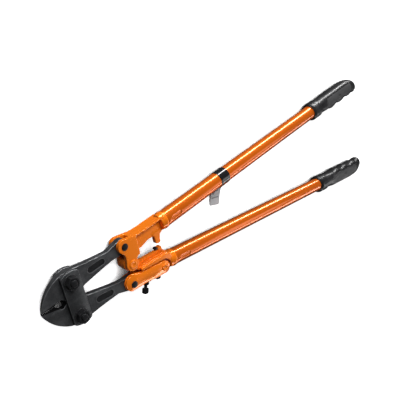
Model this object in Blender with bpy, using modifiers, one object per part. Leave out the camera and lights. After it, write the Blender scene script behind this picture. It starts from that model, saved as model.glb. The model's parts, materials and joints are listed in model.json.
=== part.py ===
"""Bolt cutters, 36 inch class, lying flat with the jaws closed.

The tool frame has its origin midway between the two jaw bolts, +X from the jaws to the
grips, +Y to the upper handle and +Z up. The empty called tool places that frame in the
part's own frame, whose origin is under the middle of the tool, on the surface it lies on.
"""

from math import atan, cos, pi, radians, sin, sqrt

import bmesh
import bpy
from mathutils import Matrix, Vector

MM = 0.001
GAP = 0.3 * MM

# Overall
OVERALL_LENGTH = 916.0 * MM
NOSE_LENGTH = 52.9 * MM
BOLT_HEAD_HEIGHT = 7.1 * MM

# Handles: each tube's axis leaves the middle line at a slope
HANDLE_SLOPE = 0.109
HANDLE_OFFSET = 15.7 * MM
TUBE_OD = 30.0 * MM
TUBE_WALL = 2.0 * MM
TUBE_START = 199.0 * MM
GRIP_LENGTH = 199.5 * MM
GRIP_LEAN = 0.9 * MM
GRIP_WALL = 2.3 * MM
GRIP_TAIL = 58.0 * MM
HOOK_RADIUS = 13.0 * MM
HOOK_OFFSET = 9.5 * MM
BUMP_PITCH = 38.5 * MM
BUMP_START = 62.0 * MM
BUMP_HEIGHT = 3.6 * MM
GRIP_BORE_DEPTH = 150.0 * MM
COLLAR_WALL = 5.0 * MM
COLLAR_LENGTH = 30.0 * MM
SPIGOT_LENGTH = 40.0 * MM
SOCKET_LENGTH = 13.0 * MM
SOCKET_SWELL = 1.2 * MM
CRIMP_FROM_SEAM = 21.0 * MM
CRIMP_LENGTH = 23.0 * MM
CRIMP_WIDTH = 6.0 * MM
CRIMP_DEPTH = 1.1 * MM

# Pivots in the tool frame
BOLT_Y = 29.4 * MM
JAW_PIN = (103.0 * MM, 35.3 * MM)
CENTRE = (109.7 * MM, 0.0)
LINK_RIVET = (170.5 * MM, -39.5 * MM)

# Thicknesses, as half values or as layers from the middle plane outwards
JAW_HALF = 6.0 * MM
STRAP_THICKNESS = 6.3 * MM
LINK_THICKNESS = 6.5 * MM
LINK_SIDE_GAP = 0.4 * MM
SLOT_SIDE_GAP = 0.6 * MM
TINE_THICKNESS = 7.2 * MM
WEB_HALF = 3.0 * MM
FLANGE_HALF = 12.5 * MM
FINGER_HALF = 4.0 * MM
LOWER_FLANGE_HALF = 13.0 * MM
LEDGE_HALF = 8.0 * MM
RIDGE_HALF = 2.7 * MM

# Pins, rivets and bolts
BOLT_RADIUS = 6.0 * MM
BOLT_HEX = 19.0 * MM
NUT_HEIGHT = 8.5 * MM
WASHER_RADIUS = 12.0 * MM
WASHER_THICKNESS = 1.5 * MM
BOLT_END = 1.4 * MM
PIN_RADIUS = 5.0 * MM
PIN_HEAD_RADIUS = 6.2 * MM
PIN_HEAD_HEIGHT = 1.6 * MM
CENTRE_HEAD_RADIUS = 7.6 * MM
LINK_HEAD_RADIUS = 6.4 * MM
RIVET_HEAD_HEIGHT = 1.5 * MM
OPEN_PIVOT_TRAVEL = 3.1 * MM
OPEN_PIVOT_SLACK = 0.85 * MM

# Jaws
HEEL_RADIUS = 12.6 * MM
HEEL_DROP = 1.1 * MM
THROAT_X = -30.0 * MM
THROAT_DEPTH = 7.2 * MM
BEVEL_WIDTH = 8.0 * MM
EDGE_LAND = 0.3 * MM
TIP_HALF = 2.8 * MM
TAPER_START = -18.0 * MM
CARTOUCHE_RADIUS = 5.2 * MM
CARTOUCHE_DEPTH = 0.9 * MM

# Links
FRONT_HEEL_RADIUS = 14.0 * MM
BACK_HEEL_RADIUS = 10.6 * MM

# Adjusting gear under the links
SCREW_TILT = radians(20.0)
SCREW_TIP = (140.5 * MM, -32.5 * MM)
SCREW_RADIUS = 3.0 * MM
SCREW_TIP_GAP = 0.6 * MM
BLOCK_START = 3.5 * MM
BLOCK_END = 19.0 * MM
BLOCK_HALF_WIDTH = 8.0 * MM
JAM_NUT_HEX = 10.0 * MM
JAM_NUT_HEIGHT = 6.0 * MM
SCREW_HEX = 10.0 * MM
SCREW_HEAD_START = 32.0 * MM
SCREW_HEAD_HEIGHT = 8.5 * MM
LOCK_SCREW_X = 160.0 * MM
LOCK_SCREW_HEAD = 5.0 * MM

# Band and tag
BAND_X = 352.0 * MM
BAND_LENGTH = 24.0 * MM
BAND_THICKNESS = 0.8 * MM
TAG_WIDTH = 26.0 * MM
TAG_THICKNESS = 0.6 * MM

ROUND = 32
LONG_ROUND = 40

SLOPE_ANGLE = atan(HANDLE_SLOPE)
TUBE_RADIUS = TUBE_OD / 2
COLLAR_RADIUS = TUBE_RADIUS + COLLAR_WALL
STRAP_INNER = JAW_HALF + GAP
STRAP_OUTER = STRAP_INNER + STRAP_THICKNESS
LINK_INNER = JAW_HALF + LINK_SIDE_GAP
LINK_OUTER = LINK_INNER + LINK_THICKNESS
SLOT_HALF = JAW_HALF + SLOT_SIDE_GAP
FORK_HALF = SLOT_HALF + TINE_THICKNESS
LOWER_WEB_HALF = JAW_HALF
BLOCK_HALF = JAW_HALF
KNUCKLE_RADIUS = BOLT_Y - GAP / 2
BOLT_BOTTOM = STRAP_OUTER + GAP + BOLT_HEAD_HEIGHT
HEAD_X = NOSE_LENGTH - OVERALL_LENGTH / 2
GRIP_START = OVERALL_LENGTH - NOSE_LENGTH - GRIP_LENGTH * cos(SLOPE_ANGLE) - GRIP_LEAN

PIVOTS = {
    "tool": (0.0, 0.0),
    "upper_handle_pivot": CENTRE,
    "link_pivot": LINK_RIVET,
    "upper_jaw_pivot": JAW_PIN,
    "strap_pivot": (0.0, BOLT_Y),
    "lower_jaw_pivot": (0.0, -BOLT_Y),
}
UPPER, LOWER = 1, -1
parts = None
cutters = None
empties = {}


# Scene, materials and placing


def clear_scene():
    for obj in list(bpy.data.objects):
        bpy.data.objects.remove(obj, do_unlink=True)


def new_collection(name):
    collection = bpy.data.collections.new(name)
    bpy.context.scene.collection.children.link(collection)
    return collection


def add_pivots():
    """One empty for the tool frame and, under it, one on the axis of each moving body."""
    for name, (x, y) in PIVOTS.items():
        empty = bpy.data.objects.new(name, None)
        parts.objects.link(empty)
        if name == "tool":
            empty.location = (HEAD_X, 0.0, BOLT_BOTTOM)
        else:
            empty.parent = empties["tool"]
            empty.location = (x, y, 0.0)
        empties[name] = empty


def make_material(name, colour, metallic, roughness):
    material = bpy.data.materials.new(name)
    material.use_nodes = True
    shader = material.node_tree.nodes["Principled BSDF"]
    shader.inputs["Base Color"].default_value = (*colour, 1.0)
    shader.inputs["Metallic"].default_value = metallic
    shader.inputs["Roughness"].default_value = roughness
    return material


def orange_paint(name):
    return make_material(name, (0.90, 0.27, 0.02), 0.0, 0.28)


def forged_steel(name):
    return make_material(name, (0.075, 0.078, 0.082), 0.85, 0.48)


def black_steel(name):
    return make_material(name, (0.02, 0.02, 0.022), 0.7, 0.3)


def black_rubber(name):
    return make_material(name, (0.018, 0.018, 0.019), 0.0, 0.5)


def finish(obj, pivot, material):
    """Hangs a finished piece on its pivot, with its shape left where it is in the tool frame."""
    x, y = PIVOTS[pivot]
    obj.parent = empties[pivot]
    obj.location = obj.location - Vector((x, y, 0.0))
    obj.data.materials.clear()
    obj.data.materials.append(material(obj.name))
    obj.data.shade_smooth()
    obj.data.set_sharp_from_angle(angle=radians(35.0))
    parts.objects.link(obj)
    return obj


def hide_tool(obj, pivot):
    """A cutter or a joined block: out of the render, drawn as wire, moving with its pivot."""
    x, y = PIVOTS[pivot]
    obj.parent = empties[pivot]
    obj.location = obj.location - Vector((x, y, 0.0))
    obj.hide_render = True
    obj.display_type = "WIRE"
    cutters.objects.link(obj)


def combine(obj, other, operation, pivot):
    hide_tool(other, pivot)
    modifier = obj.modifiers.new(operation.lower() + "_" + other.name, "BOOLEAN")
    modifier.operation = operation
    modifier.solver = "EXACT"
    modifier.object = other


# Outlines in the plane of the tool


def arc(centre, radius, start, end, steps):
    """Points round a centre, from one angle in degrees to another."""
    turn = [radians(start + (end - start) * i / steps) for i in range(steps + 1)]
    return [(centre[0] + radius * cos(a), centre[1] + radius * sin(a)) for a in turn]


def bulge(start, end, sagitta, steps):
    """Points of the arc from start to end that stands out to the right by sagitta."""
    chord = Vector(end) - Vector(start)
    half = chord.length / 2
    radius = (half * half + sagitta * sagitta) / (2 * sagitta)
    right = Vector((chord.y, -chord.x)).normalized()
    middle = Vector(start) + chord / 2
    centre = middle - right * (radius - sagitta)
    points = []
    for i in range(steps + 1):
        along = chord * (i / steps - 0.5)
        rise = sqrt(radius * radius - along.length_squared)
        point = centre + along + right * rise
        points.append((point.x, point.y))
    return points


def rounded(corners, steps=4):
    """The outline through corners (x, y, radius), each rounded by a fillet of its radius."""
    points = []
    count = len(corners)
    for i, corner in enumerate(corners):
        here = Vector(corner[:2])
        radius = corner[2] if len(corner) > 2 else 0.0
        if radius == 0.0:
            points.append(tuple(here))
            continue
        before = (Vector(corners[i - 1][:2]) - here).normalized()
        after = (Vector(corners[(i + 1) % count][:2]) - here).normalized()
        half = before.angle(after) / 2
        centre = here + (before + after).normalized() * (radius / sin(half))
        first = here + before * (radius / (sin(half) / cos(half))) - centre
        last = here + after * (radius / (sin(half) / cos(half))) - centre
        swing = first.angle_signed(last)
        for step in range(steps + 1):
            spoke = first.copy()
            spoke.rotate(Matrix.Rotation(-swing * step / steps, 2))
            points.append(tuple(centre + spoke))
    return points


def in_mm(corners):
    return [tuple(value * MM for value in corner) for corner in corners]


def flip(points):
    """The mirror image in the middle line, listed the other way round."""
    return [(point[0], -point[1], *point[2:]) for point in reversed(points)]


def on_side(points, side):
    return points if side == UPPER else flip(points)


def axis_point(x, side):
    """A point of a tube's axis."""
    return Vector((x, side * (HANDLE_OFFSET + HANDLE_SLOPE * x), 0.0))


def along_handle(distance, side):
    """The point of the axis at a distance from the grip's front."""
    step = Vector((cos(SLOPE_ANGLE), side * sin(SLOPE_ANGLE), 0.0))
    return axis_point(GRIP_START, side) + step * distance


# Solids


def flat_solid(name, outlines, low, high):
    """A plate from low to high along Z. Outlines after the first are holes in it."""
    curve = bpy.data.curves.new(name, "CURVE")
    curve.dimensions = "2D"
    curve.fill_mode = "BOTH"
    curve.extrude = (high - low) / 2
    for outline in outlines:
        spline = curve.splines.new("POLY")
        spline.points.add(len(outline) - 1)
        for point, place in zip(spline.points, outline):
            point.co = (*place[:2], 0.0, 1.0)
        spline.use_cyclic_u = True
    guide = bpy.data.objects.new(name + "_guide", curve)
    bpy.context.scene.collection.objects.link(guide)
    graph = bpy.context.evaluated_depsgraph_get()
    mesh = bpy.data.meshes.new_from_object(guide.evaluated_get(graph))
    bpy.data.objects.remove(guide, do_unlink=True)
    mesh.name = name
    work = bmesh.new()
    work.from_mesh(mesh)
    bmesh.ops.remove_doubles(work, verts=work.verts, dist=0.01 * MM)
    bmesh.ops.recalc_face_normals(work, faces=work.faces)
    work.to_mesh(mesh)
    work.free()
    solid = bpy.data.objects.new(name, mesh)
    solid.location = (0.0, 0.0, (low + high) / 2)
    return solid


def hull_solid(name, corners):
    """The convex solid on a few corners."""
    work = bmesh.new()
    for corner in corners:
        work.verts.new(corner)
    bmesh.ops.convex_hull(work, input=work.verts)
    bmesh.ops.recalc_face_normals(work, faces=work.faces)
    mesh = bpy.data.meshes.new(name)
    work.to_mesh(mesh)
    work.free()
    return bpy.data.objects.new(name, mesh)


def turned(name, profile, segments=ROUND, ring=False):
    """A profile of (radius, height) turned round Z. A ring's profile is a closed loop."""
    mesh = bpy.data.meshes.new(name)
    edges = [(i, i + 1) for i in range(len(profile) - 1)]
    if ring:
        edges.append((len(profile) - 1, 0))
    mesh.from_pydata([(radius, 0.0, height) for radius, height in profile], edges, [])
    solid = bpy.data.objects.new(name, mesh)
    screw = solid.modifiers.new("turn", "SCREW")
    screw.steps = segments
    screw.render_steps = segments
    screw.use_merge_vertices = True
    screw.merge_threshold = 0.01 * MM
    return solid


def rod(name, radius, low, high, segments=ROUND):
    profile = [(0.0, high), (radius, high), (radius, low), (0.0, low)]
    return turned(name, profile, segments)


def hexagon(name, across_flats, low, high):
    work = bmesh.new()
    radius = across_flats / 2 / cos(pi / 6)
    bmesh.ops.create_cone(
        work, segments=6, radius1=radius, radius2=radius, depth=high - low, cap_ends=True
    )
    bmesh.ops.translate(work, verts=work.verts, vec=(0.0, 0.0, (low + high) / 2))
    mesh = bpy.data.meshes.new(name)
    work.to_mesh(mesh)
    work.free()
    return bpy.data.objects.new(name, mesh)


def stand_at(obj, place):
    """Moves a piece that stands along Z to a point of the tool's plane."""
    obj.location = (place[0], place[1], 0.0)
    return obj


def lay_on_handle(obj, x, side):
    """Lays a piece that stands along Z on a tube's axis, with its top towards the grip."""
    obj.location = axis_point(x, side)
    obj.rotation_euler = (0.0, pi / 2, side * SLOPE_ANGLE)
    return obj


def hang_on_screw(obj):
    """Turns a piece that stands along Z to run from the screw's tip down to its head."""
    obj.location = (*SCREW_TIP, 0.0)
    obj.rotation_euler = (pi / 2, 0.0, -SCREW_TILT)
    return obj


# Jaws and straps


def jaw_outline():
    heel = arc((JAW_PIN[0], JAW_PIN[1] - HEEL_DROP), HEEL_RADIUS, -98.0, 112.0, 14)
    back = in_mm([(75.0, 38.6), (56.0, 39.8), (36.0, 41.3), (20.0, 43.2), (12.0, 44.0)])
    blade = bulge((-8.0 * MM, 44.2 * MM), (-NOSE_LENGTH, 0.8 * MM), 8.2 * MM, 12)
    edge_y = GAP / 2
    throat_end = -sqrt(KNUCKLE_RADIUS**2 - (BOLT_Y - THROAT_DEPTH) ** 2)
    edge = [
        (-NOSE_LENGTH + 0.3 * MM, edge_y),
        (THROAT_X, edge_y),
        (-22.5 * MM, THROAT_DEPTH),
        (throat_end - 0.4 * MM, THROAT_DEPTH),
    ]
    start = -90.0 - 40.0
    knuckle = arc((0.0, BOLT_Y), KNUCKLE_RADIUS, start, -52.5, 14)
    arm = in_mm([(24.0, 9.4), (60.0, 16.9), (80.0, 20.6)])
    return heel + back + blade + edge + knuckle + arm


def open_pivot_hole():
    """The long hole that leaves room for the linkage where it is opened."""
    x, y = JAW_PIN
    radius = PIN_RADIUS + OPEN_PIVOT_SLACK
    top = arc((x, y + OPEN_PIVOT_TRAVEL), radius, 0.0, 180.0, 12)
    bottom = arc((x, y - OPEN_PIVOT_TRAVEL), radius, 180.0, 360.0, 12)
    return top + bottom


def bevel_cutter(name, side, face):
    """The wedge that grinds one face of a blade down to its edge."""
    corners = []
    ends = ((-60.0 * MM, TIP_HALF - 0.6 * MM), (-21.5 * MM, JAW_HALF - 0.2 * MM))
    for x, half in ends:
        rise = (half - EDGE_LAND) / BEVEL_WIDTH
        for y in (-2.0 * MM, GAP / 2):
            corners.append((x, side * y, face * EDGE_LAND))
        for y in (-2.0 * MM, BEVEL_WIDTH * 1.4):
            corners.append((x, side * y, face * (JAW_HALF + 3.0 * MM)))
        corners.append((x, side * BEVEL_WIDTH * 1.4, face * (EDGE_LAND + rise * BEVEL_WIDTH * 1.4)))
    return hull_solid(name, corners)


def taper_cutter(name, side, face):
    """The wedge that thins the blade towards its tip."""
    tip_x = -60.0 * MM
    slope = (JAW_HALF - TIP_HALF) / (TAPER_START + NOSE_LENGTH)
    corners = []
    for y in (-3.0 * MM, 50.0 * MM):
        corners.append((TAPER_START + 4.0 * MM, side * y, face * (JAW_HALF + slope * 4.0 * MM)))
        corners.append((TAPER_START + 4.0 * MM, side * y, face * (JAW_HALF + 4.0 * MM)))
        corners.append((tip_x, side * y, face * (JAW_HALF - slope * (TAPER_START - tip_x))))
        corners.append((tip_x, side * y, face * (JAW_HALF + 4.0 * MM)))
    return hull_solid(name, corners)


def cartouche_cutter(name, side, face):
    """The shallow oval in the face of a jaw's arm."""
    front = arc((39.5 * MM, 26.8 * MM), CARTOUCHE_RADIUS, 94.0, 274.0, 10)
    back = arc((61.0 * MM, 28.6 * MM), CARTOUCHE_RADIUS, -86.0, 94.0, 10)
    floor = JAW_HALF - CARTOUCHE_DEPTH
    levels = sorted((face * floor, face * (JAW_HALF + 1.0 * MM)))
    return flat_solid(name, [on_side(front + back, side)], *levels)


def make_jaw(name, side, pivot, pin_hole):
    bolt_hole = arc((0.0, BOLT_Y), BOLT_RADIUS + GAP, 0.0, 360.0 - 360.0 / ROUND, ROUND - 1)
    outlines = [on_side(line, side) for line in (jaw_outline(), bolt_hole, pin_hole)]
    jaw = flat_solid(name, outlines, -JAW_HALF, JAW_HALF)
    for face, label in ((1, "front"), (-1, "back")):
        for kind, maker in (
            ("taper", taper_cutter),
            ("bevel", bevel_cutter),
            ("cartouche", cartouche_cutter),
        ):
            cutter = maker(f"{name}_{kind}_{label}", side, face)
            combine(jaw, cutter, "DIFFERENCE", pivot)
    return finish(jaw, pivot, forged_steel)


def round_hole(place, radius, segments=ROUND):
    return arc(place, radius, 0.0, 360.0 - 360.0 / segments, segments - 1)


def make_jaws():
    pin_hole = round_hole(JAW_PIN, PIN_RADIUS + GAP)
    make_jaw("jaw_upper", UPPER, "upper_jaw_pivot", pin_hole)
    make_jaw("jaw_lower", LOWER, "lower_jaw_pivot", open_pivot_hole())


def strap_outline():
    front_x, back_x = -13.8 * MM, 17.5 * MM
    front_y, back_y = 41.5 * MM, 42.5 * MM
    top = bulge((back_x - 2.0 * MM, back_y), (front_x + 2.0 * MM, front_y), 3.2 * MM, 8)
    corners = [(back_x, -back_y + 2.0 * MM), (back_x, back_y - 2.0 * MM)]
    corners += top
    corners += [(front_x, front_y - 2.0 * MM), (front_x, -front_y + 2.0 * MM)]
    corners += flip(top)
    return corners


def make_straps():
    outlines = [strap_outline()]
    for side in (UPPER, LOWER):
        outlines.append(round_hole((0.0, side * BOLT_Y), BOLT_RADIUS + GAP))
    for name, face in (("strap_front", 1), ("strap_back", -1)):
        levels = sorted((face * STRAP_INNER, face * STRAP_OUTER))
        finish(flat_solid(name, outlines, *levels), "strap_pivot", forged_steel)


def make_jaw_bolt(name, side):
    """A hex head bolt. Its head is at the bottom and its domed end above the nut."""
    nut_top = STRAP_OUTER + WASHER_THICKNESS + NUT_HEIGHT + 2 * GAP
    end = nut_top + BOLT_END
    under_head = -STRAP_OUTER - GAP
    profile = [
        (0.0, end),
        (BOLT_RADIUS * 0.7, end - 0.2 * MM),
        (BOLT_RADIUS, end - 1.1 * MM),
        (BOLT_RADIUS, under_head - 1.0 * MM),
        (0.0, under_head - 1.0 * MM),
    ]
    bolt = stand_at(turned(name, profile), (0.0, side * BOLT_Y))
    head = hexagon(name + "_head", BOLT_HEX, -BOLT_BOTTOM, under_head)
    combine(bolt, stand_at(head, (0.0, side * BOLT_Y)), "UNION", "strap_pivot")
    return finish(bolt, "strap_pivot", black_steel)


def make_washer(name, side):
    inner = BOLT_RADIUS + GAP
    low = STRAP_OUTER + GAP
    high = low + WASHER_THICKNESS
    profile = [(WASHER_RADIUS, high), (WASHER_RADIUS, low), (inner, low), (inner, high)]
    washer = stand_at(turned(name, profile, ring=True), (0.0, side * BOLT_Y))
    return finish(washer, "strap_pivot", black_steel)


def make_jaw_nut(name, side):
    low = STRAP_OUTER + WASHER_THICKNESS + 2 * GAP
    nut = stand_at(hexagon(name, BOLT_HEX, low, low + NUT_HEIGHT), (0.0, side * BOLT_Y))
    bore = rod(name + "_bore", BOLT_RADIUS + GAP, low - MM, low + NUT_HEIGHT + MM)
    combine(nut, stand_at(bore, (0.0, side * BOLT_Y)), "DIFFERENCE", "strap_pivot")
    return finish(nut, "strap_pivot", black_steel)


def make_bolting():
    for label, side in (("upper", UPPER), ("lower", LOWER)):
        make_jaw_bolt(f"jaw_bolt_{label}", side)
        make_washer(f"jaw_washer_{label}", side)
        make_jaw_nut(f"jaw_nut_{label}", side)


# Pins and rivets


def make_pin(name, place, outer_face, pivot):
    """A black pin with a low domed head at each end."""
    face = outer_face + GAP
    top = face + PIN_HEAD_HEIGHT
    upper_half = [
        (0.0, top),
        (PIN_HEAD_RADIUS * 0.7, top - 0.25 * MM),
        (PIN_HEAD_RADIUS, top - 0.9 * MM),
        (PIN_HEAD_RADIUS, face),
        (PIN_RADIUS, face),
    ]
    lower_half = [(radius, -height) for radius, height in reversed(upper_half)]
    return finish(stand_at(turned(name, upper_half + lower_half), place), pivot, black_steel)


def make_rivet(name, place, outer_face, head_radius, pivot):
    """A painted rivet whose heads are dished in the middle."""
    face = outer_face + GAP
    top = face + RIVET_HEAD_HEIGHT
    upper_half = [
        (0.0, top - 1.1 * MM),
        (head_radius * 0.38, top - 1.0 * MM),
        (head_radius * 0.55, top),
        (head_radius * 0.86, top),
        (head_radius, top - 0.7 * MM),
        (head_radius, face),
        (PIN_RADIUS, face),
    ]
    lower_half = [(radius, -height) for radius, height in reversed(upper_half)]
    return finish(stand_at(turned(name, upper_half + lower_half), place), pivot, orange_paint)


def make_pins():
    lower_pin = (JAW_PIN[0], -JAW_PIN[1])
    make_pin("upper_jaw_pin", JAW_PIN, FORK_HALF, "upper_handle_pivot")
    make_pin("lower_jaw_pin", lower_pin, LINK_OUTER, "link_pivot")
    make_rivet("centre_rivet", CENTRE, FORK_HALF, CENTRE_HEAD_RADIUS, "tool")
    make_rivet("link_rivet", LINK_RIVET, LINK_OUTER, LINK_HEAD_RADIUS, "tool")


# Handle castings


def fork_outline():
    jaw_end = arc(JAW_PIN, 12.4 * MM, 80.0, 215.0, 12)
    waist = rounded(in_mm([(97.0, 25.5), (101.5, 18.0, 6.0), (99.0, 8.0)]))[1:-1]
    boss = arc(CENTRE, 12.0 * MM, 155.0, 385.0, 18)
    rear = in_mm([(122.6, 8.0), (127.5, 9.8), (129.0, 11.5), (129.5, 44.6), (112.0, 46.6)])
    return jaw_end + waist + boss + rear


def slot_outline():
    return in_mm(
        [(80.0, -16.0), (127.0, -16.0), (127.0, 9.4), (121.0, 10.6), (118.6, 13.0)]
        + [(118.6, 38.0), (120.5, 60.0), (80.0, 60.0)]
    )


def beam_top():
    """The upper casting's top line, from the fork back to the socket."""
    return in_mm([(121.0, 45.0), (130.0, 44.4), (150.0, 45.2), (171.0, 47.4), (190.0, 48.4)])


def beam_outline(depth):
    top = beam_top()
    bottom = [(x, y - depth) for x, y in top]
    return bottom + top[::-1]


def upper_web_outline():
    lower = in_mm([(122.0, 12.0), (141.0, 13.0), (156.5, 18.6), (183.0, 19.0), (189.0, 21.0)])
    upper = in_mm([(189.0, 46.0), (150.0, 43.5), (122.0, 43.0)])
    return lower + upper


def finger_outline():
    return rounded(
        in_mm(
            [(166.5, 24.0), (170.0, 16.0, 3.0), (170.0, 5.6, 1.0), (172.4, 3.2, 1.0)]
            + [(181.0, 3.2, 1.5), (181.8, 13.0, 3.0), (184.0, 18.5, 2.0), (188.5, 20.6)]
            + [(188.5, 26.0), (170.0, 26.0)]
        )
    )


def join_socket(casting, side, pivot):
    """The round socket shoulder at the end of the casting and the spigot inside the tube."""
    shoulder = TUBE_RADIUS + SOCKET_SWELL
    spigot = TUBE_RADIUS - TUBE_WALL - GAP
    top = [(0.0, SPIGOT_LENGTH), (spigot - MM, SPIGOT_LENGTH), (spigot, SPIGOT_LENGTH - MM)]
    end = [(shoulder, -SOCKET_LENGTH + MM), (shoulder - MM, -SOCKET_LENGTH)]
    profile = top + [(spigot, 0.0), (shoulder - 0.6 * MM, 0.0), (shoulder, -0.6 * MM)] + end
    socket = turned(casting.name + "_socket", profile + [(0.0, -SOCKET_LENGTH)], LONG_ROUND)
    combine(casting, lay_on_handle(socket, TUBE_START, side), "UNION", pivot)


def drill(casting, place, radius, half, pivot, label):
    bore = rod(f"{casting.name}_{label}", radius, -half - 2 * MM, half + 2 * MM)
    combine(casting, stand_at(bore, place), "DIFFERENCE", pivot)


def make_upper_casting():
    pivot = "upper_handle_pivot"
    name = "upper_casting"
    casting = flat_solid(name, [fork_outline()], -FORK_HALF, FORK_HALF)
    slot = flat_solid(name + "_slot", [slot_outline()], -SLOT_HALF, SLOT_HALF)
    combine(casting, slot, "DIFFERENCE", pivot)
    blocks = (
        ("web", upper_web_outline(), WEB_HALF),
        ("flange", beam_outline(3.6 * MM), FLANGE_HALF),
        ("finger", finger_outline(), FINGER_HALF),
    )
    for label, outline, half in blocks:
        block = flat_solid(f"{name}_{label}", [outline], -half, half)
        combine(casting, block, "UNION", pivot)
    join_socket(casting, UPPER, pivot)
    drill(casting, JAW_PIN, PIN_RADIUS + GAP, FORK_HALF, pivot, "jaw_pin_hole")
    drill(casting, CENTRE, PIN_RADIUS + GAP, FORK_HALF, pivot, "centre_hole")
    return finish(casting, pivot, orange_paint)


def lower_web_outline():
    lobe = arc(CENTRE, 13.0 * MM, -8.0, 285.0, 22)
    under = in_mm([(122.0, -20.5), (131.0, -27.9), (150.5, -35.0), (153.5, -41.5)])
    under += in_mm([(156.5, -45.5)])
    boss = arc(LINK_RIVET, 10.5 * MM, 232.0, 350.0, 12)
    rear = in_mm([(186.0, -38.0), (186.0, -18.0), (125.5, -15.0)])
    return lobe + under + boss + rear


def ridge_outline():
    return in_mm(
        [(113.0, -14.0), (116.0, -4.5), (171.0, -7.0), (179.0, -9.5), (189.0, -19.0)]
        + [(189.0, -26.0), (130.0, -19.0)]
    )


def ledge_outline():
    return in_mm([(127.5, -19.0), (128.0, -14.0), (179.5, -14.0), (186.0, -18.5), (186.0, -22.0)])


def lower_flange_outline():
    top = in_mm([(190.0, -19.6), (177.0, -16.2), (123.5, -16.2), (123.5, -21.4)])
    ceiling = in_mm([(150.0, -22.8), (163.0, -24.2)])
    recess = arc(LINK_RIVET, 14.8 * MM, 98.0, -27.0, 14)
    return top + ceiling + recess + in_mm([(190.0, -47.3)])


def stop_post_outline():
    return in_mm(
        [(171.3, -11.0), (171.3, -3.4), (172.0, -2.8), (178.4, -2.8), (179.4, -3.8), (180.0, -11.0)]
    )


def make_lower_casting():
    pivot = "tool"
    name = "lower_casting"
    casting = flat_solid(name, [lower_web_outline()], -LOWER_WEB_HALF, LOWER_WEB_HALF)
    blocks = (
        ("ridge", ridge_outline(), RIDGE_HALF),
        ("ledge", ledge_outline(), LEDGE_HALF),
        ("flange", lower_flange_outline(), LOWER_FLANGE_HALF),
        ("stop", stop_post_outline(), FINGER_HALF),
    )
    for label, outline, half in blocks:
        block = flat_solid(f"{name}_{label}", [outline], -half, half)
        combine(casting, block, "UNION", pivot)
    join_socket(casting, LOWER, pivot)
    drill(casting, CENTRE, PIN_RADIUS + GAP, LOWER_WEB_HALF, pivot, "centre_hole")
    drill(casting, LINK_RIVET, PIN_RADIUS + GAP, LOWER_WEB_HALF, pivot, "rivet_hole")
    bore = rod(name + "_lock_hole", SCREW_RADIUS + GAP, 2.0 * MM, 18.0 * MM)
    combine(casting, hang_lock_screw(bore), "DIFFERENCE", pivot)
    return finish(casting, pivot, orange_paint)


def make_stop_bumper():
    outline = in_mm([(165.6, -8.0), (171.0, -8.0), (171.0, -2.2), (167.0, -2.2), (165.6, -3.6)])
    bumper = flat_solid("stop_bumper", [outline], -FINGER_HALF, FINGER_HALF)
    seat = flat_solid(
        "stop_bumper_seat", [ridge_outline()], -RIDGE_HALF - GAP, RIDGE_HALF + GAP
    )
    seat.location.y += GAP
    combine(bumper, seat, "DIFFERENCE", "tool")
    return finish(bumper, "tool", black_rubber)


# Links and adjusting gear


def link_outline(heel):
    """A link plate round a heel at the jaw pin, given as its own outline."""
    under = in_mm([(108.0, -45.4), (125.0, -45.6), (140.0, -47.6), (155.0, -49.9)])
    rear = arc(LINK_RIVET, 11.4 * MM, 248.0, 445.0, 16)
    top = in_mm([(160.0, -27.0), (150.0, -25.6), (122.0, -23.0)])
    return heel + under + rear + top


def make_links():
    """The front plate has a broad heel over the jaw pin and the back one a small heel."""
    lower_pin = (JAW_PIN[0], -JAW_PIN[1])
    holes = [round_hole(place, PIN_RADIUS + GAP) for place in (lower_pin, LINK_RIVET)]
    broad = arc((101.5 * MM, -32.0 * MM), FRONT_HEEL_RADIUS, 80.0, 250.0, 16)
    small = arc(lower_pin, BACK_HEEL_RADIUS, 80.0, 250.0, 16)
    for name, face, heel in (("link_front", 1, broad), ("link_back", -1, small)):
        levels = sorted((face * LINK_INNER, face * LINK_OUTER))
        plate = flat_solid(name, [link_outline(heel), *holes], *levels)
        finish(plate, "link_pivot", orange_paint)


def make_adjusting_block():
    half = BLOCK_HALF_WIDTH
    corner = 3.0 * MM
    low, high = BLOCK_START, BLOCK_END
    outline = rounded([(-half, low), (half, low), (half, high, corner), (-half, high, corner)])
    block = flat_solid("adjusting_block", [outline], -BLOCK_HALF, BLOCK_HALF)
    block.location = (*SCREW_TIP, 0.0)
    block.rotation_euler = (0.0, 0.0, pi - SCREW_TILT)
    bore = rod("adjusting_block_bore", SCREW_RADIUS + GAP, BLOCK_START - MM, BLOCK_END + MM)
    combine(block, hang_on_screw(bore), "DIFFERENCE", "link_pivot")
    return finish(block, "link_pivot", black_steel)


def make_adjusting_screw():
    head_end = SCREW_HEAD_START + SCREW_HEAD_HEIGHT
    profile = [
        (0.0, head_end + 2.0 * MM),
        (2.6 * MM, head_end + 1.6 * MM),
        (4.4 * MM, head_end),
        (SCREW_RADIUS, head_end - MM),
        (SCREW_RADIUS, SCREW_TIP_GAP + 1.2 * MM),
        (SCREW_RADIUS - 1.2 * MM, SCREW_TIP_GAP),
        (0.0, SCREW_TIP_GAP),
    ]
    screw = hang_on_screw(turned("adjusting_screw", profile, 24))
    head = hexagon("adjusting_screw_head", SCREW_HEX, SCREW_HEAD_START, head_end)
    combine(screw, hang_on_screw(head), "UNION", "link_pivot")
    return finish(screw, "link_pivot", black_steel)


def make_jam_nut():
    low = BLOCK_END + GAP
    high = low + JAM_NUT_HEIGHT
    nut = hang_on_screw(hexagon("jam_nut", JAM_NUT_HEX, low, high))
    bore = rod("jam_nut_bore", SCREW_RADIUS + GAP, low - MM, high + MM, 24)
    combine(nut, hang_on_screw(bore), "DIFFERENCE", "link_pivot")
    return finish(nut, "link_pivot", black_steel)


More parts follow.
